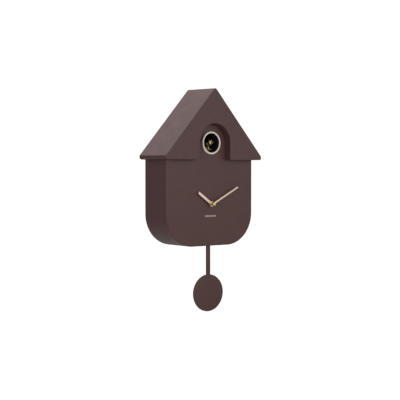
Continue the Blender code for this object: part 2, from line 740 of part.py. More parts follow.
def grille_slots():
    """Upright slots that fill a circle over the speaker."""
    x, z = SPEAKER_PLACE
    reach = SPEAKER_RADIUS - GRILLE_MARGIN
    slots = []
    for i in range(-3, 4):
        middle = x + i * GRILLE_PITCH
        tall = math.sqrt(reach ** 2 - (middle - x) ** 2)
        slots.append(rectangle((middle - GRILLE_HALF, middle + GRILLE_HALF), (z - tall, z + tall)))
    return slots


def make_back_cover():
    plastic = paint("cover_plastic", (0.035, 0.03, 0.03), 0.6)
    holes = [keyhole(), door_opening(0.0)] + grille_slots()
    holes.append(circle(SETTING[0], HAND_Z + SETTING[1], STEM_HOLE, 16))
    holes.append(circle(*VOLUME_PLACE, KNOB_RADIUS + CLEARANCE))
    holes.append(circle(*TEST_PLACE, BUTTON_RADIUS + CLEARANCE, 16))
    half = SWITCH_TRAVEL / 2 + SWITCH_HALF + CLEARANCE
    x, z = SWITCH_PLACE
    holes.append(rectangle((x - half, x + half), (z - SWITCH_HALF, z + SWITCH_HALF)))
    for side in (-1, 1):
        for x, z in (ROOF_BOSS, BODY_BOSS):
            holes.append(circle(side * x, z, SCREW_RADIUS + CLEARANCE, 12))
    inset = POST_INSET
    posts = [rod_y(x, z, POST_RADIUS, BOARD_BACK + GAP, COVER_FRONT + COVER_THICKNESS / 2, 12)
             for x, z in ((BOARD_X[0] + inset, BOARD_Z[0] + inset),
                          (BOARD_X[0] + inset, BOARD_Z[1] - inset),
                          (BOARD_X[1] - inset, BOARD_Z[0] + inset))]
    part("back_cover", plate([cover_outline()] + holes, COVER_FRONT, COVER_BACK), plastic,
         plus(*posts), solver="MANIFOLD")
    steel = paint("screw_steel", STEEL, 0.35, 1.0)
    number = 0
    for x, z in (ROOF_BOSS, BODY_BOSS):
        for side in (-1, 1):
            number += 1
            profile = [(0.0, SCREW_HEAD_RISE), (SCREW_HEAD_TOP, SCREW_HEAD_RISE),
                       (SCREW_HEAD_RADIUS, SCREW_HEAD_SIDE), (SCREW_HEAD_RADIUS, 0.0),
                       (SCREW_RADIUS, 0.0), (SCREW_RADIUS, -SCREW_LENGTH),
                       (0.0, -SCREW_LENGTH - SCREW_POINT)]
            base = (side * x, COVER_BACK + GAP, z)
            part(f"cover_screw_{number}", turned(profile, base, (0, 1, 0), 12), steel)


def make_battery_door():
    x, z = TRAY_CENTRE
    y_front = COVER_FRONT
    door = plate([door_opening(CLEARANCE)], y_front, COVER_BACK)
    ribs = [box((x - RIB_HALF, x + RIB_HALF), (COVER_BACK - GAP, COVER_BACK + RIB_RISE),
                (low, low + RIB_WIDTH)) for low in (z + RIB_PLACE + i * RIB_PITCH for i in range(3))]
    part("battery_door", door, paint("door_plastic", (0.04, 0.034, 0.034), 0.6), plus(*ribs),
         origin=(x, y_front, z))


def make_batteries():
    x, z = TRAY_CENTRE
    back = COVER_FRONT - GAP
    outer = box((x - TRAY_HALF - TRAY_WALL, x + TRAY_HALF + TRAY_WALL),
                (TRAY_FLOOR - TRAY_WALL, back),
                (z - TRAY_TALL - TRAY_WALL, z + TRAY_TALL + TRAY_WALL))
    inner = box((x - TRAY_HALF, x + TRAY_HALF), (TRAY_FLOOR, back + OVERCUT),
                (z - TRAY_TALL, z + TRAY_TALL))
    part("battery_tray", outer, paint("tray_plastic", DARK_GREY, 0.6), minus(inner))

    nub_end = z + TRAY_TALL - 2 * GAP - CONTACT_THICKNESS
    flat_end = nub_end - CELL_LENGTH
    label = paint("cell_sleeve", (0.05, 0.09, 0.16), 0.35)
    profile = [(0.0, CELL_LENGTH), (NUB_RADIUS, CELL_LENGTH),
               (NUB_RADIUS, CELL_LENGTH - NUB_HEIGHT), (CELL_RADIUS - SOFT, CELL_LENGTH - NUB_HEIGHT),
               (CELL_RADIUS, CELL_LENGTH - NUB_HEIGHT - SOFT), (CELL_RADIUS, CELL_EDGE),
               (CELL_RADIUS - CELL_EDGE, 0.0), (0.0, 0.0)]
    up_base, down_base = flat_end, 2 * z - flat_end
    for i in range(3):
        upright = i != 1
        base = (x + (i - 1) * CELL_PITCH, CELL_Y, up_base if upright else down_base)
        direction = (0, 0, 1 if upright else -1)
        part(f"battery_cell_{i + 1}", turned(profile, base, direction), label)
    make_contacts(x, z, up_base)


def contact_spring(x, z, side, flat_end):
    """A tapering spring between an end contact and the flat end of a cell."""
    start = z + side * (TRAY_TALL - GAP - CONTACT_THICKNESS / 2)
    end = z + side * (z - flat_end + GAP + SPRING_WIRE)
    per_turn = 6
    count = int(SPRING_TURNS * per_turn)
    points = []
    for i in range(count + 1):
        share = i / count
        radius = SPRING_RADII[0] - SPRING_RADII[1] * share
        angle = math.tau * SPRING_TURNS * share
        points.append((x + radius * math.cos(angle), CELL_Y + radius * math.sin(angle),
                       start + (end - start) * share))
    return tube(points, SPRING_WIRE)


def make_contacts(x, z, flat_end):
    metal = paint("contact_metal", STEEL, 0.3, 1.0)
    y_range = (CELL_Y - CONTACT_WIDTH / 2, CELL_Y + CONTACT_WIDTH / 2)

    def strip(first, last, side):
        outer = z + side * (TRAY_TALL - GAP)
        inner = outer - side * CONTACT_THICKNESS
        reach = CONTACT_WIDTH / 2
        return box((x + first * CELL_PITCH - reach, x + last * CELL_PITCH + reach), y_range,
                   sorted((inner, outer)))

    def spring(column, side):
        return contact_spring(x + column * CELL_PITCH, z, side, flat_end)

    part("contact_negative", strip(-1, -1, -1), metal, plus(spring(-1, -1)))
    part("contact_bridge_1", strip(-1, 0, 1), metal, plus(spring(0, 1)))
    part("contact_bridge_2", strip(0, 1, -1), metal, plus(spring(1, -1)))
    part("contact_positive", strip(1, 1, 1), metal)


# ---------------------------------------------------------------- sound
def make_sound():
    front = BOARD_BACK - BOARD_THICKNESS
    board = box(BOARD_X, (front, BOARD_BACK), BOARD_Z)
    seat = BOARD_BACK - BOARD_THICKNESS / 2
    pot_back, switch_back, test_back = (BOARD_BACK + rise for rise in (POT_RISE, SWITCH_RISE, TEST_RISE))

    def housing(place, half, back):
        x, z = place
        return box((x - half, x + half), (seat, back), (z - half, z + half))

    part("main_board", board, paint("board_green", BOARD_GREEN, 0.45),
         plus(housing(VOLUME_PLACE, POT_HALF, pot_back),
              housing(SWITCH_PLACE, SWITCH_BODY_HALF, switch_back),
              housing(TEST_PLACE, TEST_BODY_HALF, test_back)))
    part("sound_chip", box(CHIP_X, (BOARD_BACK + GAP, BOARD_BACK + CHIP_RISE), CHIP_Z),
         paint("chip_black", BLACK, 0.4))

    x, z = VOLUME_PLACE
    base = (x, pot_back + GAP, z)
    tall = COVER_BACK + VOLUME_PROUD - base[1]
    knob = turned([(0.0, tall), (KNOB_RADIUS - SOFT, tall), (KNOB_RADIUS, tall - SOFT),
                   (KNOB_RADIUS, FLANGE), (VOLUME_SPIGOT, 0.0), (0.0, 0.0)], base, (0, 1, 0))
    notch = box((x - MARK_HALF, x + MARK_HALF),
                (base[1] + tall - MARK_DEPTH, base[1] + tall + OVERCUT),
                (z, z + KNOB_RADIUS + OVERCUT))
    part("volume_knob", knob, paint("knob_black", BLACK, 0.5), minus(notch), origin=base)

    x, z = SWITCH_PLACE[0] - SWITCH_TRAVEL / 2, SWITCH_PLACE[1]
    half = SWITCH_HALF - CLEARANCE
    part("sound_switch", box((x - SWITCH_HALF, x + SWITCH_HALF),
                             (switch_back + GAP, COVER_BACK + SWITCH_PROUD), (z - half, z + half)),
         paint("switch_grey", (0.5, 0.5, 0.5), 0.5), origin=(x, switch_back, z))

    x, z = TEST_PLACE
    base = (x, test_back + BUTTON_TRAVEL + GAP, z)
    tall = COVER_BACK + TEST_PROUD - base[1]
    flange = COVER_FRONT - GAP - base[1]
    button = turned([(0.0, tall), (BUTTON_RADIUS - SOFT, tall), (BUTTON_RADIUS, tall - SOFT),
                     (BUTTON_RADIUS, flange), (BUTTON_RADIUS + FLANGE, flange),
                     (BUTTON_RADIUS + FLANGE, flange - FLANGE), (BUTTON_RADIUS, flange - FLANGE),
                     (BUTTON_RADIUS, 0.0), (0.0, 0.0)], base, (0, 1, 0), 16)
    part("test_button", button, paint("button_black", BLACK, 0.5), origin=base)
    make_speaker()


def make_speaker():
    """An open basket, a paper cone inside it and a magnet on its bottom."""
    x, z = SPEAKER_PLACE
    rim = COVER_FRONT - GAP
    base = (x, rim - BASKET_DEPTH, z)
    wall = BASKET_WALL
    mouth = SPEAKER_RADIUS - CONE_MARGIN
    bottom = MAGNET_RADIUS - wall
    basket = turned([(SPEAKER_RADIUS, BASKET_DEPTH), (SPEAKER_RADIUS, BASKET_DEPTH - BASKET_RIM),
                     (mouth + wall, BASKET_DEPTH - BASKET_RIM), (bottom, 0.0), (CONE_FOOT, 0.0),
                     (CONE_FOOT, wall), (bottom - wall / 2, wall), (mouth, BASKET_DEPTH - wall),
                     (mouth, BASKET_DEPTH)], base, (0, 1, 0), 24, ring=True)
    part("speaker_frame", basket, paint("basket_steel", DARK_GREY, 0.4, 0.6))
    edge = mouth - CONE_GAP
    throat = THROAT_RADIUS
    rise = BASKET_DEPTH - wall
    cone = turned([(0.0, DUST_CAP_RISE), (CONE_FOOT, DUST_CAP_RISE - CONE_GAP), (throat, THROAT_RISE),
                   (edge - CONE_ROLL, rise),
                   (edge, rise), (edge, rise - CONE_SKIN),
                   (throat, THROAT_RISE - CONE_ROLL), (0.0, THROAT_RISE - CONE_ROLL)],
                  base, (0, 1, 0), 24)
    part("speaker_cone", cone, paint("cone_paper", (0.03, 0.03, 0.03), 0.9))
    magnet = turned([(0.0, 0.0), (MAGNET_RADIUS, 0.0), (MAGNET_RADIUS, -MAGNET_DEPTH),
                     (MAGNET_RADIUS - SOFT, -MAGNET_DEPTH - SOFT), (0.0, -MAGNET_DEPTH - SOFT)],
                    (x, base[1] - GAP, z), (0, 1, 0), 24)
    part("speaker_magnet", magnet, paint("magnet_grey", (0.25, 0.25, 0.26), 0.4, 0.8))


# ---------------------------------------------------------------- bird


def make_bird_ring():
    proud = BODY_FRONT - RING_PROUD
    seat = BODY_FRONT - GAP
    base = (0.0, seat, BIRD_Z)
    front = seat - proud
    bevel = RING_BEVEL
    profile = [(RING_BORE, front), (RING_RADIUS - bevel, front), (RING_RADIUS, front - bevel),
               (RING_RADIUS, 0.0), (SLEEVE_RADIUS, 0.0), (SLEEVE_RADIUS, -SLEEVE_LENGTH),
               (RING_BORE, -SLEEVE_LENGTH)]
    part("bird_ring", turned(profile, base, (0, -1, 0), FINE, ring=True),
         paint("ring_champagne", CHAMPAGNE, 0.35, 0.3))

    length = TUNNEL_END - TUNNEL_START
    socket = SLEEVE_END + GAP - TUNNEL_START
    outer = TUNNEL_BORE + TUNNEL_WALL
    profile = [(0.0, TUNNEL_WALL - length), (TUNNEL_BORE, TUNNEL_WALL - length),
               (TUNNEL_BORE, -socket), (SOCKET_RADIUS, -socket), (SOCKET_RADIUS, 0.0),
               (FLANGE_RADIUS, 0.0), (FLANGE_RADIUS, -TUNNEL_WALL),
               (SOCKET_RADIUS + TUNNEL_WALL, -TUNNEL_WALL), (SOCKET_RADIUS + TUNNEL_WALL, -socket),
               (outer, -socket - TUNNEL_WALL), (outer, -length), (0.0, -length)]
    turned_tunnel = turned(profile, (0.0, TUNNEL_START, BIRD_Z), (0, -1, 0), FINE)
    slot = box((-POST_HALF - CLEARANCE, POST_HALF + CLEARANCE),
               (POST_Y - POST_REACH - BIRD_FORWARD - CLEARANCE,
                POST_Y + POST_REACH + BIRD_BACK + CLEARANCE),
               (BIRD_Z - outer - OVERCUT, BIRD_Z - RING_BORE / 2))
    part("bird_tunnel", turned_tunnel, paint("tunnel_black", BLACK, 0.7), minus(slot))


def make_bird():
    head, waist = HEAD_PLACE, WAIST_PLACE
    beak_root, beak_tip = ((0.0, head[1] + deep, head[2] + high)
                           for deep, high in (BEAK_ROOT, BEAK_TIP))
    leg_y = waist[1] + LEG_PLACE[1]
    legs = [rod((side * LEG_PLACE[0], leg_y, PERCH_TOP + GAP),
                (side * LEG_PLACE[0], leg_y, waist[2] - LEG_PLACE[0]), LEG_RADIUS, 8)
            for side in (-1, 1)]
    across, behind, above = WING_OFFSET
    wings = [ball((side * across, waist[1] + behind, waist[2] + above), WING_RADII, WING_TILT, 12)
             for side in (-1, 1)]
    part("bird", ball(waist, WAIST_RADII, WAIST_TILT, 16), paint("bird_gold", GOLD, 0.4, 0.9),
         plus(ball(head, (HEAD_RADIUS,) * 3, 0.0, 14),
              rod(beak_root, beak_tip, BEAK_RADIUS, 8, BEAK_POINT),
              ball(TAIL_PLACE, TAIL_RADII, TAIL_TILT, 12), *wings, *legs),
         origin=head)
    sled = box((-PERCH_HALF, PERCH_HALF), (PERCH_START, POST_Y + POST_REACH),
               (PERCH_TOP - PERCH_THICKNESS, PERCH_TOP))
    post = box((-POST_HALF, POST_HALF), (POST_Y - POST_REACH, POST_Y + POST_REACH),
               (CARRIAGE_TOP + GAP, PERCH_TOP - PERCH_THICKNESS / 2))
    part("bird_perch", sled, paint("perch_grey", (0.16, 0.17, 0.14), 0.6), plus(post),
         origin=(0.0, POST_Y, PERCH_TOP))


def rack_outline(y_front, y_back, top):
    """A bar with pointed teeth below it, with a gap over the pinion's upright tooth."""
    pitch = math.pi * RACK_MODULE
    line = GEAR_Z + RACK_MODULE * RACK_PINION_TEETH / 2
    root = line + TOOTH_ROOT * RACK_MODULE
    tip = line - TOOTH_TIP * RACK_MODULE
    points = [(y_back, top), (y_front, top), (y_front, root)]
    first = math.ceil((y_front - GEAR_Y) / pitch)
    last = math.floor((y_back - GEAR_Y) / pitch)
    for i in range(first, last):
        valley = GEAR_Y + i * pitch
        points += [(valley, root), (valley + pitch / 2, tip)]
    points += [(GEAR_Y + last * pitch, root), (y_back, root)]
    return points


def make_bird_drive():
    plastic = paint("drive_plastic", WHITE_PLASTIC, 0.5)
    spare = RACK_SPARE
    y_front = GEAR_Y - BIRD_BACK - spare
    y_back = GEAR_Y + BIRD_FORWARD + spare
    under = CARRIAGE_TOP - CARRIAGE_THICKNESS
    rack = plate([rack_outline(y_front, y_back, under + CARRIAGE_THICKNESS / 2)],
                 -RACK_HALF, RACK_HALF, "X")
    top = box((-FRAME_HALF, FRAME_HALF), (y_front, y_back), (under, CARRIAGE_TOP))
    part("bird_carriage", top, plastic, plus(rack), origin=(0.0, GEAR_Y, CARRIAGE_TOP))

    motor_distance = TOOTH_MODULE * (WHEEL_TEETH + MOTOR_TEETH) / 2
    motor_z = GEAR_Z - motor_distance
    floor = motor_z - MOTOR_RADIUS - GAP
    low = floor - FRAME_WALL
    rail = under - GAP
    inner = FRAME_HALF - FRAME_WALL
    channel = [(-FRAME_HALF, low), (FRAME_HALF, low), (FRAME_HALF, rail), (inner, rail),
               (inner, floor), (-inner, floor), (-inner, rail), (-FRAME_HALF, rail)]
    frame_front, frame_back = PANEL_BACK + GAP, y_back + BIRD_BACK
    foot = box((-FRAME_HALF - FOOT_REACH, FRAME_HALF + FOOT_REACH),
               (frame_front, frame_front + FRAME_WALL), (low - OVERCUT, GEAR_Z - OVERCUT))
    hole = rod((-FRAME_HALF - OVERCUT, GEAR_Y, GEAR_Z), (FRAME_HALF + OVERCUT, GEAR_Y, GEAR_Z),
               AXLE_RADIUS + RUNNING, 16)
    flange_room = box((-FRAME_HALF - OVERCUT, FRAME_HALF + OVERCUT),
                      (frame_front - OVERCUT, TUNNEL_START + TUNNEL_WALL + GAP),
                      (BIRD_Z - FLANGE_RADIUS - GAP, BIRD_Z))
    part("bird_frame", plate([channel], frame_front + FRAME_WALL / 2, frame_back),
         paint("frame_plastic", DARK_GREY, 0.6), plus(foot) + minus(hole, flange_room))

    radius = RACK_MODULE * RACK_PINION_TEETH / 2
    axle = rod((-FRAME_HALF, GEAR_Y, GEAR_Z), (FRAME_HALF, GEAR_Y, GEAR_Z), AXLE_RADIUS, 16)
    wheel = plate([teeth(GEAR_Y, GEAR_Z, WHEEL_TEETH, TOOTH_MODULE, -math.pi / 2)], *WHEEL_X, "X")
    pinion = plate([teeth(GEAR_Y, GEAR_Z, RACK_PINION_TEETH, RACK_MODULE, math.pi / 2)],
                   -RACK_HALF, RACK_HALF, "X")
    hub = rod((RACK_HALF / 2, GEAR_Y, GEAR_Z), (sum(WHEEL_X) / 2, GEAR_Y, GEAR_Z),
              radius / 2, 16)
    part("reduction_gear", wheel, plastic, plus(hub, pinion, axle), origin=(0.0, GEAR_Y, GEAR_Z))

    motor_end = WHEEL_X[0] - MOTOR_STANDOFF
    shaft = rod((motor_end - OVERCUT, GEAR_Y, motor_z),
                (motor_end + MOTOR_STANDOFF / 2, GEAR_Y, motor_z), SHAFT_RADIUS, 16)
    body = rod((-inner + GAP, GEAR_Y, motor_z), (motor_end, GEAR_Y, motor_z), MOTOR_RADIUS)
    part("bird_motor", body, paint("motor_steel", STEEL, 0.35, 1.0), plus(shaft))
    tooth_at = math.pi / 2 + math.pi / MOTOR_TEETH
    part("motor_pinion", plate([teeth(GEAR_Y, motor_z, MOTOR_TEETH, TOOTH_MODULE, tooth_at)],
                               *WHEEL_X, "X"), paint("pinion_brass", GOLD, 0.35, 1.0),
         origin=(0.0, GEAR_Y, motor_z))


# ---------------------------------------------------------------- movement


def gear(place, count, layer, degrees, valley=False, module=TOOTH_MODULE, extra=0.0):
    """A gear in the movement whose tooth, or valley, points in the given direction."""
    tooth_at = math.radians(degrees) + (math.pi / count if valley else 0.0)
    outline = teeth(place[0], HAND_Z + place[1], count, module, tooth_at)
    return plate([outline], layer - extra, layer + LAYER + extra)


def arbor(place, radius, y_start, y_end, sides=12):
    """A shaft in the movement, along Y."""
    return rod_y(place[0], HAND_Z + place[1], radius, y_start, y_end, sides)


def origin_of(place, y=None):
    """A point on the axis of a wheel in the movement."""
    return (place[0], BODY_FRONT if y is None else y, HAND_Z + place[1])


def make_movement_case():
    half = MOVEMENT_SIZE / 2
    plastic = paint("case_plastic", BLACK, 0.55)
    outer = box((-half, half), (MOVEMENT_FRONT, CASE_BACK), (HAND_Z - half, HAND_Z + half))
    inner_half = half - MOVEMENT_WALL
    inner = box((-inner_half, inner_half), (PLATE_BACK, CASE_BACK + OVERCUT),
                (HAND_Z - inner_half, HAND_Z + inner_half))
    bush = arbor((0, 0), BUSH_RADIUS, BODY_FRONT - BUSH_PROUD, PLATE_BACK - GAP, ROUND)
    bore = arbor((0, 0), BUSH_RADIUS - BUSH_WALL, BODY_FRONT - BUSH_PROUD - OVERCUT,
                 PLATE_BACK + OVERCUT, ROUND)

    def pivots(y_start, y_end):
        holes = [arbor(place, ARBOR_RADIUS + RUNNING, y_start, y_end)
                 for place in (THIRD, SECOND, ROTOR)]
        return holes + [arbor(SETTING, STEM_RADIUS + RUNNING, y_start, y_end, 16)]

    front_holes = pivots(MOVEMENT_FRONT - OVERCUT, PLATE_BACK + OVERCUT)
    front_holes.append(arbor(MINUTE_WHEEL, ARBOR_RADIUS + RUNNING, MOVEMENT_FRONT - OVERCUT,
                             PLATE_BACK + OVERCUT))
    part("movement_case", outer, plastic, minus(inner) + plus(bush) + minus(bore, *front_holes))
    cover_front = CASE_BACK + GAP
    cover_back = cover_front + CASE_COVER
    back_holes = pivots(cover_front - OVERCUT, cover_back + OVERCUT)
    back_holes.append(arbor((0, 0), MINUTE_ARBOR_RADIUS + RUNNING, cover_front - OVERCUT,
                            cover_back + OVERCUT, ROUND))
    part("movement_cover", box((-half, half), (cover_front, cover_back),
                               (HAND_Z - half, HAND_Z + half)), plastic, minus(*back_holes))

    nut_back = BODY_FRONT - GAP
    corner = NUT_FLAT_RADIUS / math.cos(math.pi / 6)
    nut = plate([circle(0.0, HAND_Z, corner, 6),
                 circle(0.0, HAND_Z, BUSH_RADIUS + GAP)], nut_back - NUT_THICKNESS, nut_back)
    part("movement_nut", nut, paint("nut_grey", (0.35, 0.35, 0.36), 0.4, 0.9))
    washer = plate([circle(0.0, HAND_Z, WASHER_RADIUS, 32),
                    circle(0.0, HAND_Z, BUSH_RADIUS + GAP)], PANEL_BACK + GAP,
                   MOVEMENT_FRONT - GAP)
    part("movement_washer", washer, paint("washer_rubber", BLACK, 0.8))


def make_hands():
    metal = paint("hand_metal", ROSE_GOLD, 0.35, 1.0)

    def bar(name, length, width, angle, hub, bore, back, hub_front):
        across = Vector((math.cos(angle), -math.sin(angle)))
        along = Vector((math.sin(angle), math.cos(angle)))
        centre = Vector((0.0, HAND_Z))
        corners = [centre + across * (side * width / 2) + along * reach for side, reach in
                   ((-1, 0.0), (1, 0.0), (1, length), (-1, length))]
        blade = plate([[(p.x, p.y) for p in corners]], back - HAND_THICKNESS, back)
        disc = rod_y(0.0, HAND_Z, hub, back + GAP / 3, hub_front)
        hole = rod_y(0.0, HAND_Z, bore, back + OVERCUT, hub_front - OVERCUT)
        part(name, blade, metal, plus(disc) + minus(hole), origin=(0.0, back, HAND_Z))

    hour_back = BODY_FRONT - HOUR_PROUD
    minute_back = BODY_FRONT - MINUTE_PROUD
    bar("hour_hand", HOUR_LENGTH, HOUR_WIDTH, HOUR_ANGLE, HUB_RADIUS,
        HOUR_TUBE_RADIUS + RUNNING, hour_back, hour_back - HUB_THICKNESS)
    bar("minute_hand", MINUTE_LENGTH, MINUTE_WIDTH, MINUTE_ANGLE, CAP_RADIUS,
        MINUTE_ARBOR_RADIUS + RUNNING, minute_back, minute_back - HUB_THICKNESS)
    cap_back = minute_back - HUB_THICKNESS - GAP
    cap_front = BODY_FRONT - CAP_PROUD
    tall = cap_back - cap_front
    socket = MINUTE_ARBOR_RADIUS + RUNNING
    cap = turned([(0.0, tall), (CAP_RADIUS - CAP_EDGE, tall), (CAP_RADIUS, tall - CAP_EDGE),
                  (CAP_RADIUS, 0.0), (socket, 0.0), (socket, tall / 2), (0.0, tall / 2)],
                 (0.0, cap_back, HAND_Z), (0, -1, 0))
    part("hand_cap", cap, paint("cap_gold", GOLD, 0.35, 1.0), origin=(0.0, cap_back, HAND_Z))


def make_hand_gears():
    plastic = paint("gear_plastic", WHITE_PLASTIC, 0.5)
    amber = paint("gear_amber", (0.55, 0.30, 0.08), 0.45)
    hour_tip = BODY_FRONT - HOUR_PROUD - HUB_THICKNESS - HOUR_TUBE_PROUD
    tube_bore = MINUTE_ARBOR_RADIUS + RUNNING + GAP / 3
    wheel = gear((0, 0), HOUR_TEETH, HOUR_LAYER, 0.0, module=HOUR_MODULE)
    neck = arbor((0, 0), HOUR_TUBE_RADIUS, hour_tip, HOUR_LAYER + LAYER / 2, ROUND)
    bore = arbor((0, 0), tube_bore, hour_tip - OVERCUT, HOUR_LAYER + LAYER + OVERCUT, ROUND)
    part("hour_wheel", wheel, plastic, plus(neck) + minus(bore), origin=origin_of((0, 0)))

    minute_tip = BODY_FRONT - MINUTE_PROUD - HUB_THICKNESS - ARBOR_REACH
    shaft = arbor((0, 0), MINUTE_ARBOR_RADIUS, minute_tip, ARBOR_END, ROUND)
    cannon = gear((0, 0), CANNON_TEETH, MINUTE_LAYER, 0.0, extra=LEAF)
    part("minute_arbor", shaft, paint("arbor_steel", STEEL, 0.3, 1.0), plus(cannon),
         origin=origin_of((0, 0)))

    wheel = gear(MINUTE_WHEEL, MINUTE_TEETH, MINUTE_LAYER, 180.0, valley=True)
    idle = gear(MINUTE_WHEEL, IDLE_TEETH, HOUR_LAYER, 180.0, valley=True, module=HOUR_MODULE,
                extra=LEAF / 2)
    stub = arbor(MINUTE_WHEEL, ARBOR_RADIUS, MOVEMENT_FRONT + GAP, MINUTE_LAYER + LAYER + GAP)
    part("minute_wheel", wheel, amber, plus(stub, idle), origin=origin_of(MINUTE_WHEEL))

    knob_front = COVER_BACK + GAP
    stem = arbor(SETTING, STEM_RADIUS, MOVEMENT_FRONT + GAP, knob_front + SETTING_SOCKET - GAP, 16)
    pinion = gear(SETTING, CANNON_TEETH, MINUTE_LAYER, SETTING_TURN + 180.0, extra=LEAF)
    part("setting_stem", stem, plastic, plus(pinion), origin=origin_of(SETTING))
    rise, sink, wide = SETTING_RISE, SETTING_SOCKET, SETTING_RADIUS
    socket = STEM_RADIUS + GAP
    x, z = SETTING[0], HAND_Z + SETTING[1]
    knob = turned([(0.0, rise), (wide - CAP_EDGE, rise), (wide, rise - CAP_EDGE), (wide, 0.0),
                   (socket, 0.0), (socket, sink), (0.0, sink)], (x, knob_front, z), (0, 1, 0))
    grips = [rod_y(x + GRIP_REACH * math.cos(turn), z + GRIP_REACH * math.sin(turn), GRIP_RADIUS,
                   knob_front - OVERCUT, knob_front + rise + OVERCUT, 8)
             for turn in (math.tau * i / GRIPS for i in range(GRIPS))]
    part("setting_knob", knob, paint("setting_black", BLACK, 0.5), minus(*grips),
         origin=(x, knob_front, z))


def make_train():
    """The wheels between the stepping rotor and the hands."""
    plastic = paint("train_plastic", WHITE_PLASTIC, 0.5)
    bore = arbor((0, 0), MINUTE_ARBOR_RADIUS + RUNNING, CENTRE_LAYER - OVERCUT,
                 CENTRE_LAYER + LAYER + OVERCUT, ROUND)
    part("centre_wheel", gear((0, 0), CENTRE_TEETH, CENTRE_LAYER, THIRD_TURN), plastic,
         minus(bore), origin=origin_of((0, 0)))

    def compound(name, place, wheel_layer, wheel_turn, leaf_layer, leaf_turn):
        wheel = gear(place, DRIVEN_TEETH, wheel_layer, wheel_turn)
        leaf = gear(place, LEAF_TEETH, leaf_layer, leaf_turn + 180.0, valley=True, extra=LEAF)
        shaft = arbor(place, ARBOR_RADIUS, MOVEMENT_FRONT + GAP, ARBOR_END)
        part(name, wheel, plastic, plus(shaft, leaf), origin=origin_of(place))

    compound("third_wheel", THIRD, THIRD_LAYER, SECOND_TURN, CENTRE_LAYER, THIRD_TURN)
    compound("second_wheel", SECOND, SECOND_LAYER, ROTOR_TURN, THIRD_LAYER, SECOND_TURN)
    magnet = arbor(ROTOR, ROTOR_RADIUS, ROTOR_LAYER - GAP, ROTOR_LAYER + ROTOR_LENGTH, ROUND)
    leaf = gear(ROTOR, LEAF_TEETH, SECOND_LAYER, ROTOR_TURN + 180.0, valley=True, extra=LEAF)
    shaft = arbor(ROTOR, ARBOR_RADIUS, MOVEMENT_FRONT + GAP, ARBOR_END)
    part("rotor", magnet, paint("rotor_magnet", DARK_GREY, 0.4, 0.7), plus(shaft, leaf),
         origin=origin_of(ROTOR))


def make_motor_parts():
    """The stator plate, its coil and the small clock board."""
    x, z = ROTOR[0], HAND_Z + ROTOR[1]
    left, right = STATOR_X
    top = z + STATOR_TOP
    coil_z = HAND_Z - COIL_DROP
    leg, yoke = STATOR_LEG, z - STATOR_YOKE
    bottom = coil_z - CORE_RADIUS
    outline = [(left, bottom), (left + leg, bottom), (left + leg, yoke), (right - leg, yoke),
               (right - leg, bottom), (right, bottom), (right, top), (left, top)]
    plate_y = ROTOR_LAYER
    part("movement_stator", plate([outline, circle(x, z, STATOR_BORE)], plate_y,
                                 plate_y + STATOR_THICKNESS),
         paint("stator_steel", STEEL, 0.35, 1.0))
    reach, winding, flange = COIL_REACH, WINDING_RADIUS, COIL_FLANGE
    middle = (left + right) / 2
    profile = [(0.0, reach), (flange, reach), (flange, reach - CHEEK), (winding, reach - CHEEK),
               (winding, CHEEK - reach), (flange, CHEEK - reach), (flange, -reach), (0.0, -reach)]
    part("movement_coil", turned(profile, (middle, plate_y + STATOR_THICKNESS / 2, coil_z), (1, 0, 0)),
         paint("coil_copper", COPPER, 0.35, 0.9))
    board_y = CASE_BACK - CLOCK_BOARD_GAP
    part("movement_board", box(CLOCK_BOARD_X, (board_y, board_y + CLOCK_BOARD_THICKNESS),
                               tuple(HAND_Z + rise for rise in CLOCK_BOARD_Z)),
         paint("clock_board", BOARD_GREEN, 0.45))


# ---------------------------------------------------------------- pendulum


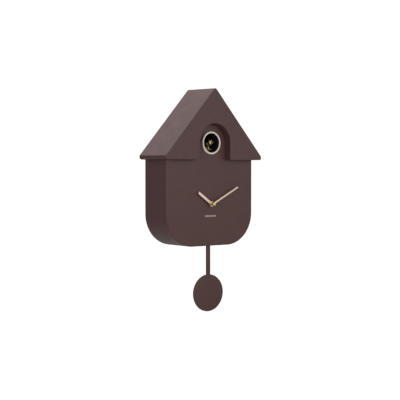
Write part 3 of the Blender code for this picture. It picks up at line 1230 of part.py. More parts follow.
def make_pendulum():
    rod_back = ROD_Y + ROD_THICKNESS / 2
    hanger_front = rod_back + CLEARANCE
    hanger_back = hanger_front + HANGER_THICKNESS
    plastic = paint("drive_case_plastic", BLACK, 0.55)
    outer = box((-DRIVE_HALF, DRIVE_HALF), (DRIVE_FRONT, DRIVE_BACK), (DRIVE_BOTTOM, DRIVE_TOP))
    wall = MOVEMENT_WALL
    inner = box((wall - DRIVE_HALF, DRIVE_HALF - wall), (DRIVE_FRONT + wall, DRIVE_BACK + OVERCUT),
                (DRIVE_BOTTOM + wall, DRIVE_TOP - wall))
    pin_hole = rod_y(0.0, PIVOT_Z, PIN_RADIUS + GAP, DRIVE_FRONT - OVERCUT,
                     DRIVE_FRONT + wall + OVERCUT, 16)
    part("pendulum_drive_case", outer, plastic, minus(inner, pin_hole))
    reach = hanger_front - DRIVE_FRONT - wall - PIN_HEAD - GAP
    head = [(0.0, 0.0), (PIN_HEAD_RADIUS, 0.0), (PIN_HEAD_RADIUS, -PIN_HEAD),
            (PIN_RADIUS, -PIN_HEAD), (PIN_RADIUS, reach), (0.0, reach)]
    base = (0.0, DRIVE_FRONT + wall + PIN_HEAD + GAP, PIVOT_Z)
    part("pendulum_pivot_pin", turned(head, base, (0, 1, 0), 16), paint("pin_steel", STEEL, 0.3, 1.0))
    bore, outside, long = DRIVE_COIL
    coil = turned([(outside, long), (outside, 0.0), (bore, 0.0), (bore, long)],
                  (0.0, DRIVE_FRONT + wall + GAP, MAGNET_Z), (0, 1, 0), ROUND, ring=True)
    part("pendulum_coil", coil, paint("drive_coil_copper", COPPER, 0.35, 0.9))

    pivot = (0.0, ROD_Y, PIVOT_Z)
    arm_half, foot_radius = HANGER_HALF, PENDULUM_MAGNET_RADIUS + MAGNET_WALL
    arm = box((-arm_half, arm_half), (hanger_front, hanger_back), (MAGNET_Z, PIVOT_Z))
    middle = (hanger_front + hanger_back) / 2
    inset = GAP / 3
    hub = rod_y(0.0, PIVOT_Z, HANGER_EYE, hanger_front + inset, hanger_back - inset)
    foot = rod_y(0.0, MAGNET_Z, foot_radius, hanger_front + inset, hanger_back - inset)
    peg = rod_y(0.0, PEG_Z, PEG_RADIUS, middle, ROD_Y - ROD_THICKNESS / 2 - PEG_REACH, 16)
    pin_bore = rod_y(0.0, PIVOT_Z, PIN_RADIUS + RUNNING, hanger_front - OVERCUT,
                     hanger_back + OVERCUT, 16)
    pocket = rod_y(0.0, MAGNET_Z, PENDULUM_MAGNET_RADIUS + GAP, hanger_front - OVERCUT,
                   hanger_back + OVERCUT)
    part("pendulum_hanger", arm, paint("hanger_plastic", WHITE_PLASTIC, 0.5),
         plus(hub, foot, peg) + minus(pin_bore, pocket), origin=pivot)
    part("pendulum_magnet", rod_y(0.0, MAGNET_Z, PENDULUM_MAGNET_RADIUS, hanger_front,
                                  hanger_back), paint("drive_magnet", STEEL, 0.3, 1.0),
         origin=pivot)

    half = ROD_WIDTH / 2
    top = ROD_TOP
    join = EAVE_Z + DISC_HEIGHT + DISC_RADIUS - ROD_SEAT
    bar = plate([rectangle((-half, half), (join, top), ROD_CORNER),
                 circle(0.0, PEG_Z, PEG_RADIUS + GAP, 16)],
                ROD_Y - ROD_THICKNESS / 2, ROD_Y + ROD_THICKNESS / 2)
    part("pendulum_rod", bar, paint("rod_plastic", BROWN, 0.55), origin=pivot)

    edge, dome = DISC_EDGE, DISC_DOME
    deep = DISC_THICKNESS / 2
    profile = [(0.0, deep), (DISC_RADIUS * DOME_SHARE, deep - dome * DOME_FALL),
               (DISC_RADIUS - edge, deep - dome)]
    profile += [(DISC_RADIUS - edge + edge * math.sin(math.radians(t)),
                 (deep - dome) * math.cos(math.radians(t))) for t in (45, 90, 135)]
    profile += [(radius, -height) for radius, height in reversed(profile[:3])]
    seat = box((-half - GAP, half + GAP), (ROD_Y - DISC_THICKNESS, ROD_Y + DISC_THICKNESS),
               (join - GAP, top))
    part("pendulum_disc", turned(profile, (0.0, ROD_Y, EAVE_Z + DISC_HEIGHT), (0, -1, 0), FINE),
         paint("disc_plastic", BROWN, 0.55), minus(seat), origin=pivot)


# ---------------------------------------------------------------- wiring
def smooth_route(points, steps=2):
    """A curve through the route's points (Catmull-Rom)."""
    points = [Vector(p) for p in points]
    padded = [2 * points[0] - points[1]] + points + [2 * points[-1] - points[-2]]
    route = []
    for a, b, c, d in zip(padded, padded[1:], padded[2:], padded[3:]):
        for i in range(steps):
            t = i / steps
            route.append(0.5 * (2 * b + (c - a) * t + (2 * a - 5 * b + 4 * c - d) * t * t
                                + (3 * b - a - 3 * c + d) * t ** 3))
    return route + [points[-1]]


def make_wiring():
    """One loom: a plug on the main board and the leads to the pieces that it feeds."""
    plug_y = BOARD_BACK - BOARD_THICKNESS - GAP
    plug = box(PLUG_X, (plug_y - PLUG_DEPTH, plug_y), PLUG_Z)
    start_y = plug_y - LEAD_INSET
    tray_front = TRAY_FLOOR - TRAY_WALL - GAP
    clock_back = CASE_BACK + GAP + CASE_COVER + GAP
    plug_x = PLUG_X[0]
    speaker_x = SPEAKER_PLACE[0] - 0.002
    magnet_y = COVER_FRONT - GAP - BASKET_DEPTH + 0.0048
    routes = [
        [(plug_x + 0.002, start_y, -0.026), (0.026, -0.034, -0.029), (0.000, -0.036, -0.031),
         (-0.020, -0.033, -0.029), (TRAY_CENTRE[0] + 0.016, tray_front - LEAD_END, -0.024)],
        [(plug_x + 0.012, start_y, -0.034), (plug_x + 0.011, -0.031, -0.042),
         (plug_x + 0.012, -0.030, -0.058), (speaker_x - 0.002, magnet_y - 0.007, -0.068),
         (speaker_x, magnet_y, -0.0745)],
        [(plug_x + 0.004, start_y, -0.034), (0.033, -0.035, -0.042), (0.026, -0.040, -0.054),
         (0.022, clock_back + LEAD_END, -0.060)],
        [(plug_x + 0.008, start_y, -0.034), (0.036, -0.034, -0.052), (0.033, -0.037, -0.080),
         (0.028, -0.034, -0.102), (0.014, -0.034, -0.120), (0.006, -0.0450, -0.1260)],
        [(plug_x + 0.008, start_y, -0.024), (0.036, -0.034, -0.021), (0.022, -0.038, -0.016),
         (0.0128, -0.034, -0.010)],
    ]
    leads = [tube(smooth_route([(x, y, z + EAVE_Z) for x, y, z in route]), LEAD_RADIUS)
             for route in routes]
    part("wiring_loom", plug, paint("wire_red", (0.30, 0.03, 0.02), 0.5), plus(*leads))


def main():
    clear_scene()
    make_roof_shell()
    make_body_shell()
    make_back_cover()
    make_battery_door()
    make_batteries()
    make_sound()
    make_bird_ring()
    make_bird()
    make_bird_drive()
    make_movement_case()
    make_hands()
    make_hand_gears()
    make_train()
    make_motor_parts()
    make_pendulum()
    make_wiring()


main()
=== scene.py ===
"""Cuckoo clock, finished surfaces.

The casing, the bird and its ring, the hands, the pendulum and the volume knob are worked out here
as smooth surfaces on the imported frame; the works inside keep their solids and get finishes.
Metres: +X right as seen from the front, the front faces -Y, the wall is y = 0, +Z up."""
import json
import math

import bmesh
import bpy
import numpy as np
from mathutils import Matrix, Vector


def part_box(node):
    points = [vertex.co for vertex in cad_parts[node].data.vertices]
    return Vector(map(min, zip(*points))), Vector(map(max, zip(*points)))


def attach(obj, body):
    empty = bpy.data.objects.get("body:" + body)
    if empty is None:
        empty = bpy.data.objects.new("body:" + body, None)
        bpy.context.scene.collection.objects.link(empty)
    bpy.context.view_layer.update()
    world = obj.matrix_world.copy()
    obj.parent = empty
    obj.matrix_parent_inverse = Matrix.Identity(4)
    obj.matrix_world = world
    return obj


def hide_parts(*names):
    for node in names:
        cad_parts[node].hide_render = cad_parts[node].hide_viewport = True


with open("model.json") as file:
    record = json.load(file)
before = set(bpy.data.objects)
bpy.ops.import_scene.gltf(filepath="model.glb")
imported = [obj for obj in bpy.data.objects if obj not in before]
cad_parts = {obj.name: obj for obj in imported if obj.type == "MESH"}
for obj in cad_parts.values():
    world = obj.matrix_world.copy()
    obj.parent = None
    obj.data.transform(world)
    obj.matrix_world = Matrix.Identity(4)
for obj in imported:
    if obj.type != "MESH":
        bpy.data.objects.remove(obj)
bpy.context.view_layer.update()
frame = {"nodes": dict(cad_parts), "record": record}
NODES = frame["nodes"]
MM = 0.001

# ---------------------------------------------------------------- sizes taken from the frame
ROOF_LOW, ROOF_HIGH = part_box("roof_shell")
BODY_LOW, BODY_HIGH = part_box("body_shell")
RING_LOW, RING_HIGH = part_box("bird_ring")
ROD_LOW, ROD_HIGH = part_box("pendulum_rod")
DISC_LOW, DISC_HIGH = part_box("pendulum_disc")
NUT_LOW, NUT_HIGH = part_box("movement_nut")
CAP_LOW, CAP_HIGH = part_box("hand_cap")
COVER_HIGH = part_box("back_cover")[1]

# ---------------------------------------------------------------- sizes of the made pieces
ROOF_DRAFT = 1.7 * MM
ROOF_FRONT = ROOF_LOW.y
ROOF_HALF = ROOF_HIGH.x - ROOF_DRAFT
EAVE_Z = ROOF_LOW.z
EAVE_HEIGHT = 6.6 * MM
PEAK_HEIGHT = 128.8 * MM
PEAK_RADIUS = 4.0 * MM
EAVE_RADIUS = 3.0 * MM
EAVE_FOOT_RADIUS = 3.0 * MM
EAVE_FOOT_GROWTH = 0.9
FLANGE_MARGIN = 0.2 * MM
SLOPE = math.atan2(ROOF_HALF, PEAK_HEIGHT - EAVE_HEIGHT)
WALL = 2.2 * MM
GAP = 0.3 * MM
BODY_FRONT = BODY_LOW.y
BODY_HALF = BODY_HIGH.x
BODY_BOTTOM = BODY_LOW.z
BODY_CORNER = 57.5 * MM
SHOULDER_Z = EAVE_Z + 8.0 * MM
ARCH_RADIUS = 34.4 * MM
TONGUE_RADIUS = 38.0 * MM
BIRD_Z = (RING_LOW.z + RING_HIGH.z) / 2
HAND_Z = (NUT_LOW.z + NUT_HIGH.z) / 2
ROD_Y = (ROD_LOW.y + ROD_HIGH.y) / 2
ROD_HALF_DEPTH = 1.75 * MM
SLOT_HALF = 13.0 * MM
SLOT_PLAY = 1.1 * MM
RECESS_HOLE_RADIUS = 18.8 * MM
HUB_HOLE_RADIUS = 4.2 * MM
RING_BORE = 17.3 * MM
RING_SLEEVE_RADIUS = 18.4 * MM
RING_LIP = 0.9 * MM

# rounded edges, and the strip beside each that keeps the shading of the flat even
ROOF_EDGE = 0.8 * MM
BODY_EDGE = 1.3 * MM
BACK_EDGE = 0.4 * MM
SUPPORT = 0.35 * MM
MERGE_DISTANCE = 0.001 * MM

# a row of plain strokes near the foot of the front
MARK_WIDTH, MARK_TALL, MARK_PROUD = 1.9 * MM, 3.0 * MM, 0.06 * MM
MARK_PITCH = 3.6 * MM
MARK_Z = -181.0 * MM

# hands: blade width, length from the arbor, hub radius, and where they point
HOUR_HAND = (4.7 * MM, 36.0 * MM, 4.75 * MM)
MINUTE_HAND = (2.9 * MM, 64.5 * MM, 3.3 * MM)
MINUTE_ANGLE = math.radians(62.5)
HOUR_ANGLE = math.radians(305.0)
BLADE_THICK = 0.8 * MM
BLADE_TIP_RADIUS = 0.25 * MM
BLADE_EDGE = 0.16 * MM
HUB_EDGE = 0.3 * MM

# the nut: half its width over the flats, its bore, and the cone that takes its corners off
NUT_HALF_FLATS, NUT_BORE = 5.0 * MM, 4.1 * MM
NUT_CONE_START, NUT_CONE_GROWTH = 0.99, 1.9

# the screws: dome of the head, the soft cross sunk into it, and radius and height of the shank
SCREW_DOME = 1.6 * MM
CROSS_DEPTH = 0.85 * MM
CROSS_HALF_WIDTH, CROSS_REACH = 0.34 * MM, 1.45 * MM
CROSS_SOFTNESS = 0.06 * MM
SCREW_FLOOR = 0.02 * MM
SCREW_SHANK = ((1.1, 0.0), (1.1, -11.5), (0.0, -13.2))

# the bird in millimetres: across, behind the front panel and above the ring's axis; then the
# radii of each ellipsoid, and its tilt in degrees
BIRD_SHAPES = (((0, 1.0, 1.4), (4.8, 4.8, 4.8), 0.0),             # head
               ((0, -4.3, 0.5), (1.45, 3.3, 1.2), 8.0),           # beak
               ((0, 9.5, -3.4), (5.6, 9.3, 5.3), -26.0),          # body
               ((0, 21.5, -7.6), (3.4, 8.2, 1.25), -10.0),        # tail
               ((-5.0, 11.7, -3.0), (1.35, 7.6, 3.2), -24.0),     # left wing
               ((-3.7, -1.4, 2.5), (0.7, 0.7, 0.7), 0.0),         # left cheek
               ((5.0, 11.7, -3.0), (1.35, 7.6, 3.2), -24.0),      # right wing
               ((3.7, -1.4, 2.5), (0.7, 0.7, 0.7), 0.0))          # right cheek
BIRD_SOFTNESS = 0.45 * MM
BIRD_MIDDLE_BEHIND = (-7.5, -4.3, 1.0, 5.0, 9.5, 21.5, 29.6)
BIRD_MIDDLE_ABOVE = (0.0, 0.5, 1.0, -1.0, -3.6, -7.6, -9.0)
BIRD_ROWS, BIRD_COLUMNS, BIRD_HALVINGS = 110, 72, 30
BIRD_SEARCH = (-10 * MM, 35 * MM, 2000)   # from and to behind the front panel, and places tried
BIRD_WIDEST = 12 * MM
LEG_ACROSS, LEG_BEHIND, LEG_SINK = 2.6 * MM, 8.5 * MM, 0.1 * MM
LEG_PROFILE = ((0.0, 6.0), (0.7, 6.0), (0.65, 1.2), (0.9, 0.5), (0.9, 0.1), (0.0, 0.1))
TOE_RADII = (0.38 * MM, 1.5 * MM, 0.36 * MM)
TOE_REACH, TOE_HEIGHT, TOE_SPREAD = 1.3 * MM, 0.45 * MM, 25.0
EYE_ACROSS, EYE_BEHIND, EYE_ABOVE, EYE_RADIUS = 4.02, -1.75, 2.6, 0.45 * MM


# ---------------------------------------------------------------- meshes from grids
def add_piece(name, points, faces, material, body, *replaced, crease=35.0):
    """Make an object of world points and faces; smooth, with edges sharper than crease kept."""
    mesh = bpy.data.meshes.new(name)
    mesh.from_pydata(np.asarray(points, float).tolist(), [], faces)
    mesh.materials.append(material)
    mesh.validate()
    obj = bpy.data.objects.new(name, mesh)
    bpy.context.scene.collection.objects.link(obj)
    bm = bmesh.new()
    bm.from_mesh(mesh)
    bmesh.ops.remove_doubles(bm, verts=bm.verts, dist=MERGE_DISTANCE)
    bmesh.ops.dissolve_degenerate(bm, edges=bm.edges, dist=MERGE_DISTANCE)
    bmesh.ops.recalc_face_normals(bm, faces=bm.faces)
    if bm.calc_volume(signed=True) < 0:
        bmesh.ops.reverse_faces(bm, faces=bm.faces)
    bm.to_mesh(mesh)
    bm.free()
    mesh.shade_smooth()
    mesh.set_sharp_from_angle(angle=math.radians(crease))
    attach(obj, body)
    if replaced:
        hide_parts(*replaced)
    return obj


def grid_faces(rows, columns, wrap_rows=False, wrap_columns=False):
    """Quads of a grid of rows by columns, closed round either way if wrapped: each joins a
    point with the next in its column, the one diagonally across and the next in its row."""
    row = np.arange(rows if wrap_rows else rows - 1)
    column = np.arange(columns if wrap_columns else columns - 1)
    i, j = np.meshgrid(row, column, indexing="ij")
    down, right = (i + 1) % rows, (j + 1) % columns
    quads = np.stack([i * columns + j, down * columns + j,
                      down * columns + right, i * columns + right], -1)
    return quads.reshape(-1, 4)


def capped_faces(rows, count):
    """Faces of stacked closed loops of count points, with the first and last loop filled."""
    return grid_faces(rows, count, False, True).tolist() + [
        list(range(count)), list(range((rows - 1) * count, rows * count))]


def revolved(profile, centre, axis, steps=64):
    """A profile of (radius, height) carried round an axis: radius times (cos, sin) of the turn
    across the axis, plus height along it.  Points on the axis merge into one."""
    profile = np.asarray(profile, float)
    along = np.asarray(axis, float)
    first = np.array([1.0, 0, 0]) if abs(along[0]) < 0.5 else np.array([0, 0, 1.0])
    second = np.cross(along, first)
    turn = np.linspace(0.0, math.tau, steps, endpoint=False)[:, None, None]
    radius, height = profile[None, :, :1], profile[None, :, 1:]
    spread = radius * (np.cos(turn) * first + np.sin(turn) * second)
    points = np.asarray(centre) + spread + height * along
    return points


def turned_piece(name, profile, centre, axis, material, body, *replaced, steps=64, ring=False,
                 crease=35.0):
    """A turned piece; a ring closes its profile, any other starts and ends on the axis."""
    points = revolved(profile, centre, axis, steps)
    rows, columns = points.shape[:2]
    faces = grid_faces(rows, columns, True, ring)
    return add_piece(name, points.reshape(-1, 3), faces.tolist(), material, body, *replaced,
                     crease=crease)


def corner(centre, radius, start, end, steps=6):
    """Points (a, b) on an arc: centre plus radius times (cos, sin) of evenly spaced angles
    from start to end, in degrees."""
    angle = np.radians(np.linspace(start, end, steps + 1))
    return np.stack([centre[0] + radius * np.cos(angle), centre[1] + radius * np.sin(angle)], -1)


def prism_piece(name, loop, low, high, edge, material, body, *replaced):
    """A closed (x, z) loop carried along Y, its ends drawn in by a quarter round of the edge
    radius.  Each section moves every point along the loop's inward normal, by the inset over
    the cosine of half the turn at that point."""
    unit_in, unit_out = np.roll(loop, 1, 0) - loop, np.roll(loop, -1, 0) - loop
    unit_in /= np.linalg.norm(unit_in, axis=1)[:, None]
    unit_out /= np.linalg.norm(unit_out, axis=1)[:, None]
    left_in = np.stack([unit_in[:, 1], -unit_in[:, 0]], -1)
    left_out = np.stack([-unit_out[:, 1], unit_out[:, 0]], -1)
    inward = left_in + left_out
    inward /= (inward * left_out).sum(1)[:, None]
    round_edge = list(zip(*quarter(edge, 4)))
    sections = [(i, low + d) for i, d in round_edge]
    sections += [(i, high - d) for i, d in round_edge[::-1]]
    points = np.concatenate([at_depth(loop + inward * i, y) for i, y in sections])
    return add_piece(name, points, capped_faces(len(sections), len(loop)), material, body,
                     *replaced)


def ellipsoid(centre, radii, rows, columns):
    """Points centre + radii times the unit sphere of polar and round angle, poles along Y."""
    polar = np.linspace(0.0, math.pi, rows)[:, None]
    turn = np.linspace(0.0, math.tau, columns, endpoint=False)[None, :]
    sphere = np.stack([np.sin(polar) * np.cos(turn), np.cos(polar) * np.ones_like(turn),
                       np.sin(polar) * np.sin(turn)], -1)
    return sphere * np.asarray(radii) + np.asarray(centre)


# ---------------------------------------------------------------- finishes
class Finish:
    """A Principled material and short calls for the nodes in front of it."""

    def __init__(self, name, colour, roughness, metallic=0.0):
        self.material = bpy.data.materials.new(name)
        self.material.use_nodes = True
        self.nodes = self.material.node_tree.nodes
        self.links = self.material.node_tree.links
        self.shader = self.nodes["Principled BSDF"]
        self.colour = (*colour, 1.0)
        self.set("Base Color", self.colour)
        self.set("Roughness", roughness)
        self.set("Metallic", metallic)
        self.place = self.nodes.new("ShaderNodeTexCoord").outputs["Object"]

    def set(self, socket, value):
        """Give a shader socket one value all over."""
        self.shader.inputs[socket].default_value = value

    def node(self, kind, **inputs):
        """Add a node; each input is a number or another node's output."""
        made = self.nodes.new("ShaderNode" + kind)
        for socket, value in inputs.items():
            target = made.inputs[socket.replace("_", " ")]
            if isinstance(value, bpy.types.NodeSocket):
                self.links.new(value, target)
            else:
                target.default_value = value
        return made

    def mapped(self, scale, turn):
        """Object coordinates, turned and scaled."""
        return self.node("Mapping", Vector=self.place, Rotation=turn,
                         Scale=scale).outputs["Vector"]

    def noise(self, scale, detail=3.0, roughness=0.55, vector=None):
        """Soft noise, from 0 to 1."""
        made = self.node("TexNoise", Scale=scale, Detail=detail, Roughness=roughness,
                         Vector=vector or self.place)
        return made.outputs["Fac"]

    def ranged(self, value, low, high, start=0.3, end=0.7):
        """Map a value between start and end to low and high."""
        made = self.nodes.new("ShaderNodeMapRange")
        self.links.new(value, made.inputs["Value"])
        for socket, number in (("From Min", start), ("From Max", end),
                               ("To Min", low), ("To Max", high)):
            made.inputs[socket].default_value = number
        return made.outputs["Result"]

    def blend(self, factor, first, second):
        """Mix two colours by a factor."""
        made = self.nodes.new("ShaderNodeMix")
        made.data_type = "RGBA"
        self.links.new(factor, made.inputs[0])
        for socket, value in ((made.inputs[6], first), (made.inputs[7], second)):
            if isinstance(value, bpy.types.NodeSocket):
                self.links.new(value, socket)
            else:
                socket.default_value = (*value[:3], 1.0)
        return made.outputs[2]

    def feed(self, socket, value):
        """Join a node's output to a shader socket."""
        self.links.new(value, self.shader.inputs[socket])

    def bump(self, height, strength, distance):
        """Turn a height into a bump of a distance in metres."""
        made = self.node("Bump", Strength=strength, Distance=distance, Height=height)
        self.links.new(made.outputs["Normal"], self.shader.inputs["Normal"])

    def mottled(self, scale, amount):
        """Colour that drifts a little lighter and darker over the surface."""
        drift = self.ranged(self.noise(scale, 2.0), 0.0, 1.0)
        dark = tuple(c * (1 - amount) for c in self.colour[:3])
        light = tuple(min(1.0, c * (1 + amount)) for c in self.colour[:3])
        return self.blend(drift, dark, light)


def moulded_plastic(name, colour, roughness, grain=1.0, pitch=1800.0, mottle=0.06):
    """Moulded plastic: fine spark grain, faint drift of colour and of gloss."""
    colour_drift, gloss_drift, gloss_change = 22.0, 60.0, 0.05
    finish = Finish(name, colour, roughness)
    finish.feed("Base Color", finish.mottled(colour_drift, mottle))
    finish.feed("Roughness", finish.ranged(finish.noise(gloss_drift), roughness - gloss_change,
                                           roughness + gloss_change))
    finish.bump(finish.noise(pitch, 2.0, 0.6), 0.10 * grain, 0.12 * MM)
    return finish


def satin_metal(name, colour, roughness, streak_scale=(1, 1, 1), turn=(0, 0, 0), strength=0.15):
    """Brushed metal: noise drawn out into streaks drives gloss and a shallow bump."""
    glossier, duller, shade = 0.08, 0.10, 0.9
    finish = Finish(name, colour, roughness, metallic=1.0)
    streaks = finish.noise(420.0, 3.0, 0.6, finish.mapped(streak_scale, turn))
    finish.feed("Roughness", finish.ranged(streaks, roughness - glossier, roughness + duller))
    finish.feed("Base Color", finish.blend(finish.ranged(streaks, 0.0, 1.0),
                                           tuple(c * shade for c in colour), colour))
    finish.bump(streaks, strength, 0.05 * MM)
    return finish


def soft_brown(name):
    """The casing's warm dark brown with a fine, even grain."""
    return moulded_plastic(name, (0.080, 0.032, 0.030), 0.46, pitch=2200.0, mottle=0.05).material


CASING = soft_brown("soft_brown_plastic")
PENDULUM_BROWN = soft_brown("pendulum_brown_plastic")
COVER_PLASTIC = moulded_plastic("textured_cover_plastic", (0.022, 0.017, 0.016), 0.6, grain=3.0,
                                pitch=1100.0, mottle=0.12).material
KNOB_BLACK = moulded_plastic("knob_black_plastic", (0.012, 0.012, 0.012), 0.42, pitch=2600.0,
                             mottle=0.15).material
TUNNEL_BLACK = moulded_plastic("tunnel_black_plastic", (0.006, 0.006, 0.007), 0.6, grain=1.5,
                               pitch=1500.0, mottle=0.2).material
ring_finish = moulded_plastic("champagne_painted_plastic", (0.80, 0.69, 0.58), 0.34, grain=0.5,
                              pitch=2600.0, mottle=0.03)
ring_finish.set("Coat Weight", 0.25)
ring_finish.set("Coat Roughness", 0.25)
RING_CREAM = ring_finish.material
PERCH_GREY = moulded_plastic("perch_grey_plastic", (0.16, 0.17, 0.14), 0.55).material
MARK_PRINT = moulded_plastic("pale_printed_mark", (0.60, 0.52, 0.48), 0.5, grain=0.4).material
EYE_DARK = moulded_plastic("eye_dark_paint", (0.02, 0.012, 0.01), 0.25, grain=0.2).material

BIRD_GOLD = satin_metal("gold_painted_bird", (0.88, 0.68, 0.38), 0.30, strength=0.3).material
STREAK = (6.0, 6.0, 0.15)
MINUTE_METAL = satin_metal("brushed_rose_gold_minute", (0.86, 0.68, 0.55), 0.40, STREAK,
                           (0, -MINUTE_ANGLE, 0)).material
HOUR_METAL = satin_metal("brushed_rose_gold_hour", (0.86, 0.68, 0.55), 0.40, STREAK,
                         (0, -HOUR_ANGLE, 0)).material
CAP_GOLD = satin_metal("bright_gold_cap", (0.80, 0.55, 0.20), 0.22, (1, 1, 6)).material
NUT_METAL = satin_metal("plated_nut", (0.42, 0.40, 0.44), 0.34, (1, 8, 1)).material
SCREW_STEEL = satin_metal("screw_steel", (0.55, 0.55, 0.56), 0.3, (6, 1, 1)).material


# ---------------------------------------------------------------- outlines
def fillet(before, corner_at, after, radius, steps):
    """Arc of a radius that touches both lines at a corner, in order from before to after.
    Its centre lies on the corner's bisector, radius over the sine of half the corner's angle
    away, and it touches the lines radius over the tangent of that half away."""
    before, corner_at, after = (np.asarray(p, float) for p in (before, corner_at, after))
    back, ahead = before - corner_at, after - corner_at
    back /= np.linalg.norm(back)
    ahead /= np.linalg.norm(ahead)
    half = math.acos(float(np.clip(back @ ahead, -1, 1))) / 2
    middle = back + ahead
    centre = corner_at + middle / np.linalg.norm(middle) * radius / math.sin(half)
    first = corner_at + back * radius / math.tan(half) - centre
    last = corner_at + ahead * radius / math.tan(half) - centre
    start = math.atan2(first[1], first[0])
    sweep = math.remainder(math.atan2(last[1], last[0]) - start, math.tau)
    angle = start + sweep * np.linspace(0.0, 1.0, steps + 1)
    return centre + radius * np.stack([np.cos(angle), np.sin(angle)], -1)


def outline(corners):
    """Closed outline through (x, z, radius, steps): an arc at each corner with a radius."""
    parts = []
    for i, (x, z, radius, steps) in enumerate(corners):
        before, after = corners[i - 1][:2], corners[(i + 1) % len(corners)][:2]
        parts.append(fillet(before, (x, z), after, radius, steps) if radius
                     else np.array([[x, z]]))
    points = np.concatenate(parts)
    step = np.linalg.norm(points - np.roll(points, 1, 0), axis=1)
    return points[step > 2 * MERGE_DISTANCE]


def circle(x, z, radius, sides=64):
    """Points of a circle: centre plus radius times (cos, sin) of evenly spaced turns."""
    angle = np.linspace(0.0, math.tau, sides, endpoint=False)
    return np.array([x, z]) + radius * np.stack([np.cos(angle), np.sin(angle)], -1)


# where the slope's points lie between eave and peak, a little closer at the eave
SLOPE_SHARE = np.linspace(0.0, 1.0, 26)[1:-1] ** 1.15


def gable(grow):
    """The roof outline from the right foot over the peak to the left foot, moved out by grow:
    two straight slopes with arcs at the foot, the eave and the peak, mirrored in x."""
    half = ROOF_HALF + grow
    peak = EAVE_Z + PEAK_HEIGHT + grow / math.sin(SLOPE)
    eave = peak - half / math.tan(SLOPE)
    eave_arc = fillet((half, EAVE_Z), (half, eave), (0, peak), EAVE_RADIUS, 8)
    peak_arc = fillet((half, eave), (0, peak), (-half, eave), PEAK_RADIUS, 14)
    share = SLOPE_SHARE[:, None]
    slope = eave_arc[-1] * (1 - share) + peak_arc[0] * share
    foot_radius = EAVE_FOOT_RADIUS + EAVE_FOOT_GROWTH * grow
    foot_arc = fillet((0, EAVE_Z), (half, EAVE_Z), (half, eave), foot_radius, 6)
    upright = [[half, (foot_arc[-1][1] + eave_arc[0][1]) / 2]]
    right = np.concatenate([foot_arc, upright, eave_arc, slope])
    return np.concatenate([right, peak_arc, (right * (-1, 1))[::-1]])


GABLE = gable(0.0)


def arch(radius):
    """The recess outline with one point for each gable point: straight below the bird's
    centre, and above it the half circle point in the same direction as the gable point."""
    x, z = GABLE.T
    turn = np.arctan2(z - BIRD_Z, x)
    above = z > BIRD_Z
    return np.stack([np.where(above, radius * np.cos(turn), np.sign(x) * radius),
                     np.where(above, BIRD_Z + radius * np.sin(turn), z)], -1)


def at_depth(loop, y):
    """Outline points (x, z) placed at the depth y."""
    return np.stack([loop[:, 0], np.full(len(loop), y), loop[:, 1]], -1)


def quarter(radius, steps=5):
    """Insets and depths of a quarter round, from the flat face to the side: radius times one
    less the sine, and radius times one less the cosine, of a quarter turn in even steps."""
    angle = np.linspace(0.0, math.pi / 2, steps + 1)
    return radius * (1 - np.sin(angle)), radius * (1 - np.cos(angle))


# ---------------------------------------------------------------- roof
def make_roof():
    """The roof as one band: its section runs from the arch's return wall over the front face,
    round the outer edge, back along the slope to the wall, and home again on the inside."""
    edge = ROOF_EDGE
    inset, depth = quarter(edge)
    sleeve_end = BODY_FRONT - GAP
    rows = [at_depth(arch(ARCH_RADIUS), sleeve_end)]
    rows.append(at_depth(arch(ARCH_RADIUS), ROOF_FRONT + edge + SUPPORT))
    rows += [at_depth(arch(ARCH_RADIUS + edge * (1 - math.cos(t))),
                      ROOF_FRONT + edge * (1 - math.sin(t)))
             for t in np.linspace(0.0, math.pi / 2, 6)]
    rows.append(at_depth(arch(ARCH_RADIUS + edge + SUPPORT), ROOF_FRONT))
    near, far = arch(ARCH_RADIUS + edge + SUPPORT), gable(-edge - SUPPORT)
    rows += [at_depth(near * (1 - s) + far * s, ROOF_FRONT) for s in (0.34, 0.67)]
    rows.append(at_depth(far, ROOF_FRONT))
    rows += [at_depth(gable(-i), ROOF_FRONT + d) for i, d in zip(inset, depth)]

    def skin(y, inward=0.0):
        share = (y - ROOF_FRONT - edge) / (-ROOF_FRONT - edge)
        return at_depth(gable(ROOF_DRAFT * share - inward), y)

    rows += [skin(ROOF_FRONT + edge + SUPPORT), skin(ROOF_FRONT / 2),
             skin(-BACK_EDGE - SUPPORT)]
    rows += [at_depth(gable(ROOF_DRAFT - i), -d) for i, d in
             list(zip(*quarter(BACK_EDGE)))[::-1]]
    rows.append(at_depth(gable(ROOF_DRAFT - WALL), 0.0))
    rows.append(skin(COVER_HIGH.y, WALL))
    rows.append(at_depth(gable(-WALL), ROOF_FRONT + WALL))
    rows.append(at_depth(arch(ARCH_RADIUS + WALL), ROOF_FRONT + WALL))
    rows.append(at_depth(arch(ARCH_RADIUS + WALL), sleeve_end))
    points = np.stack(rows, 1)
    roof = [(points, capped_faces(*points.shape[:2]))]
    inner, outer = BODY_HALF + GAP, ROOF_HALF - EAVE_FOOT_RADIUS - FLANGE_MARGIN
    for side in (-1, 1):
        flange = outline([(side * inner, 0.0, 0, 0), (side * (outer + ROOF_DRAFT), 0.0, 0, 0),
                          (side * outer, ROOF_FRONT + WALL, 0, 0),
                          (side * (ARCH_RADIUS + WALL), ROOF_FRONT + WALL, 0, 0),
                          (side * (ARCH_RADIUS + WALL), sleeve_end, 0, 0),
                          (side * inner, sleeve_end, 0, 0)])
        count = len(flange)
        floor = np.concatenate([np.c_[flange, np.full(count, EAVE_Z + z)] for z in (0.0, WALL)])
        roof.append((floor, capped_faces(2, count)))
    add_islands("roof_surface", roof, CASING, "casing", "roof_shell")


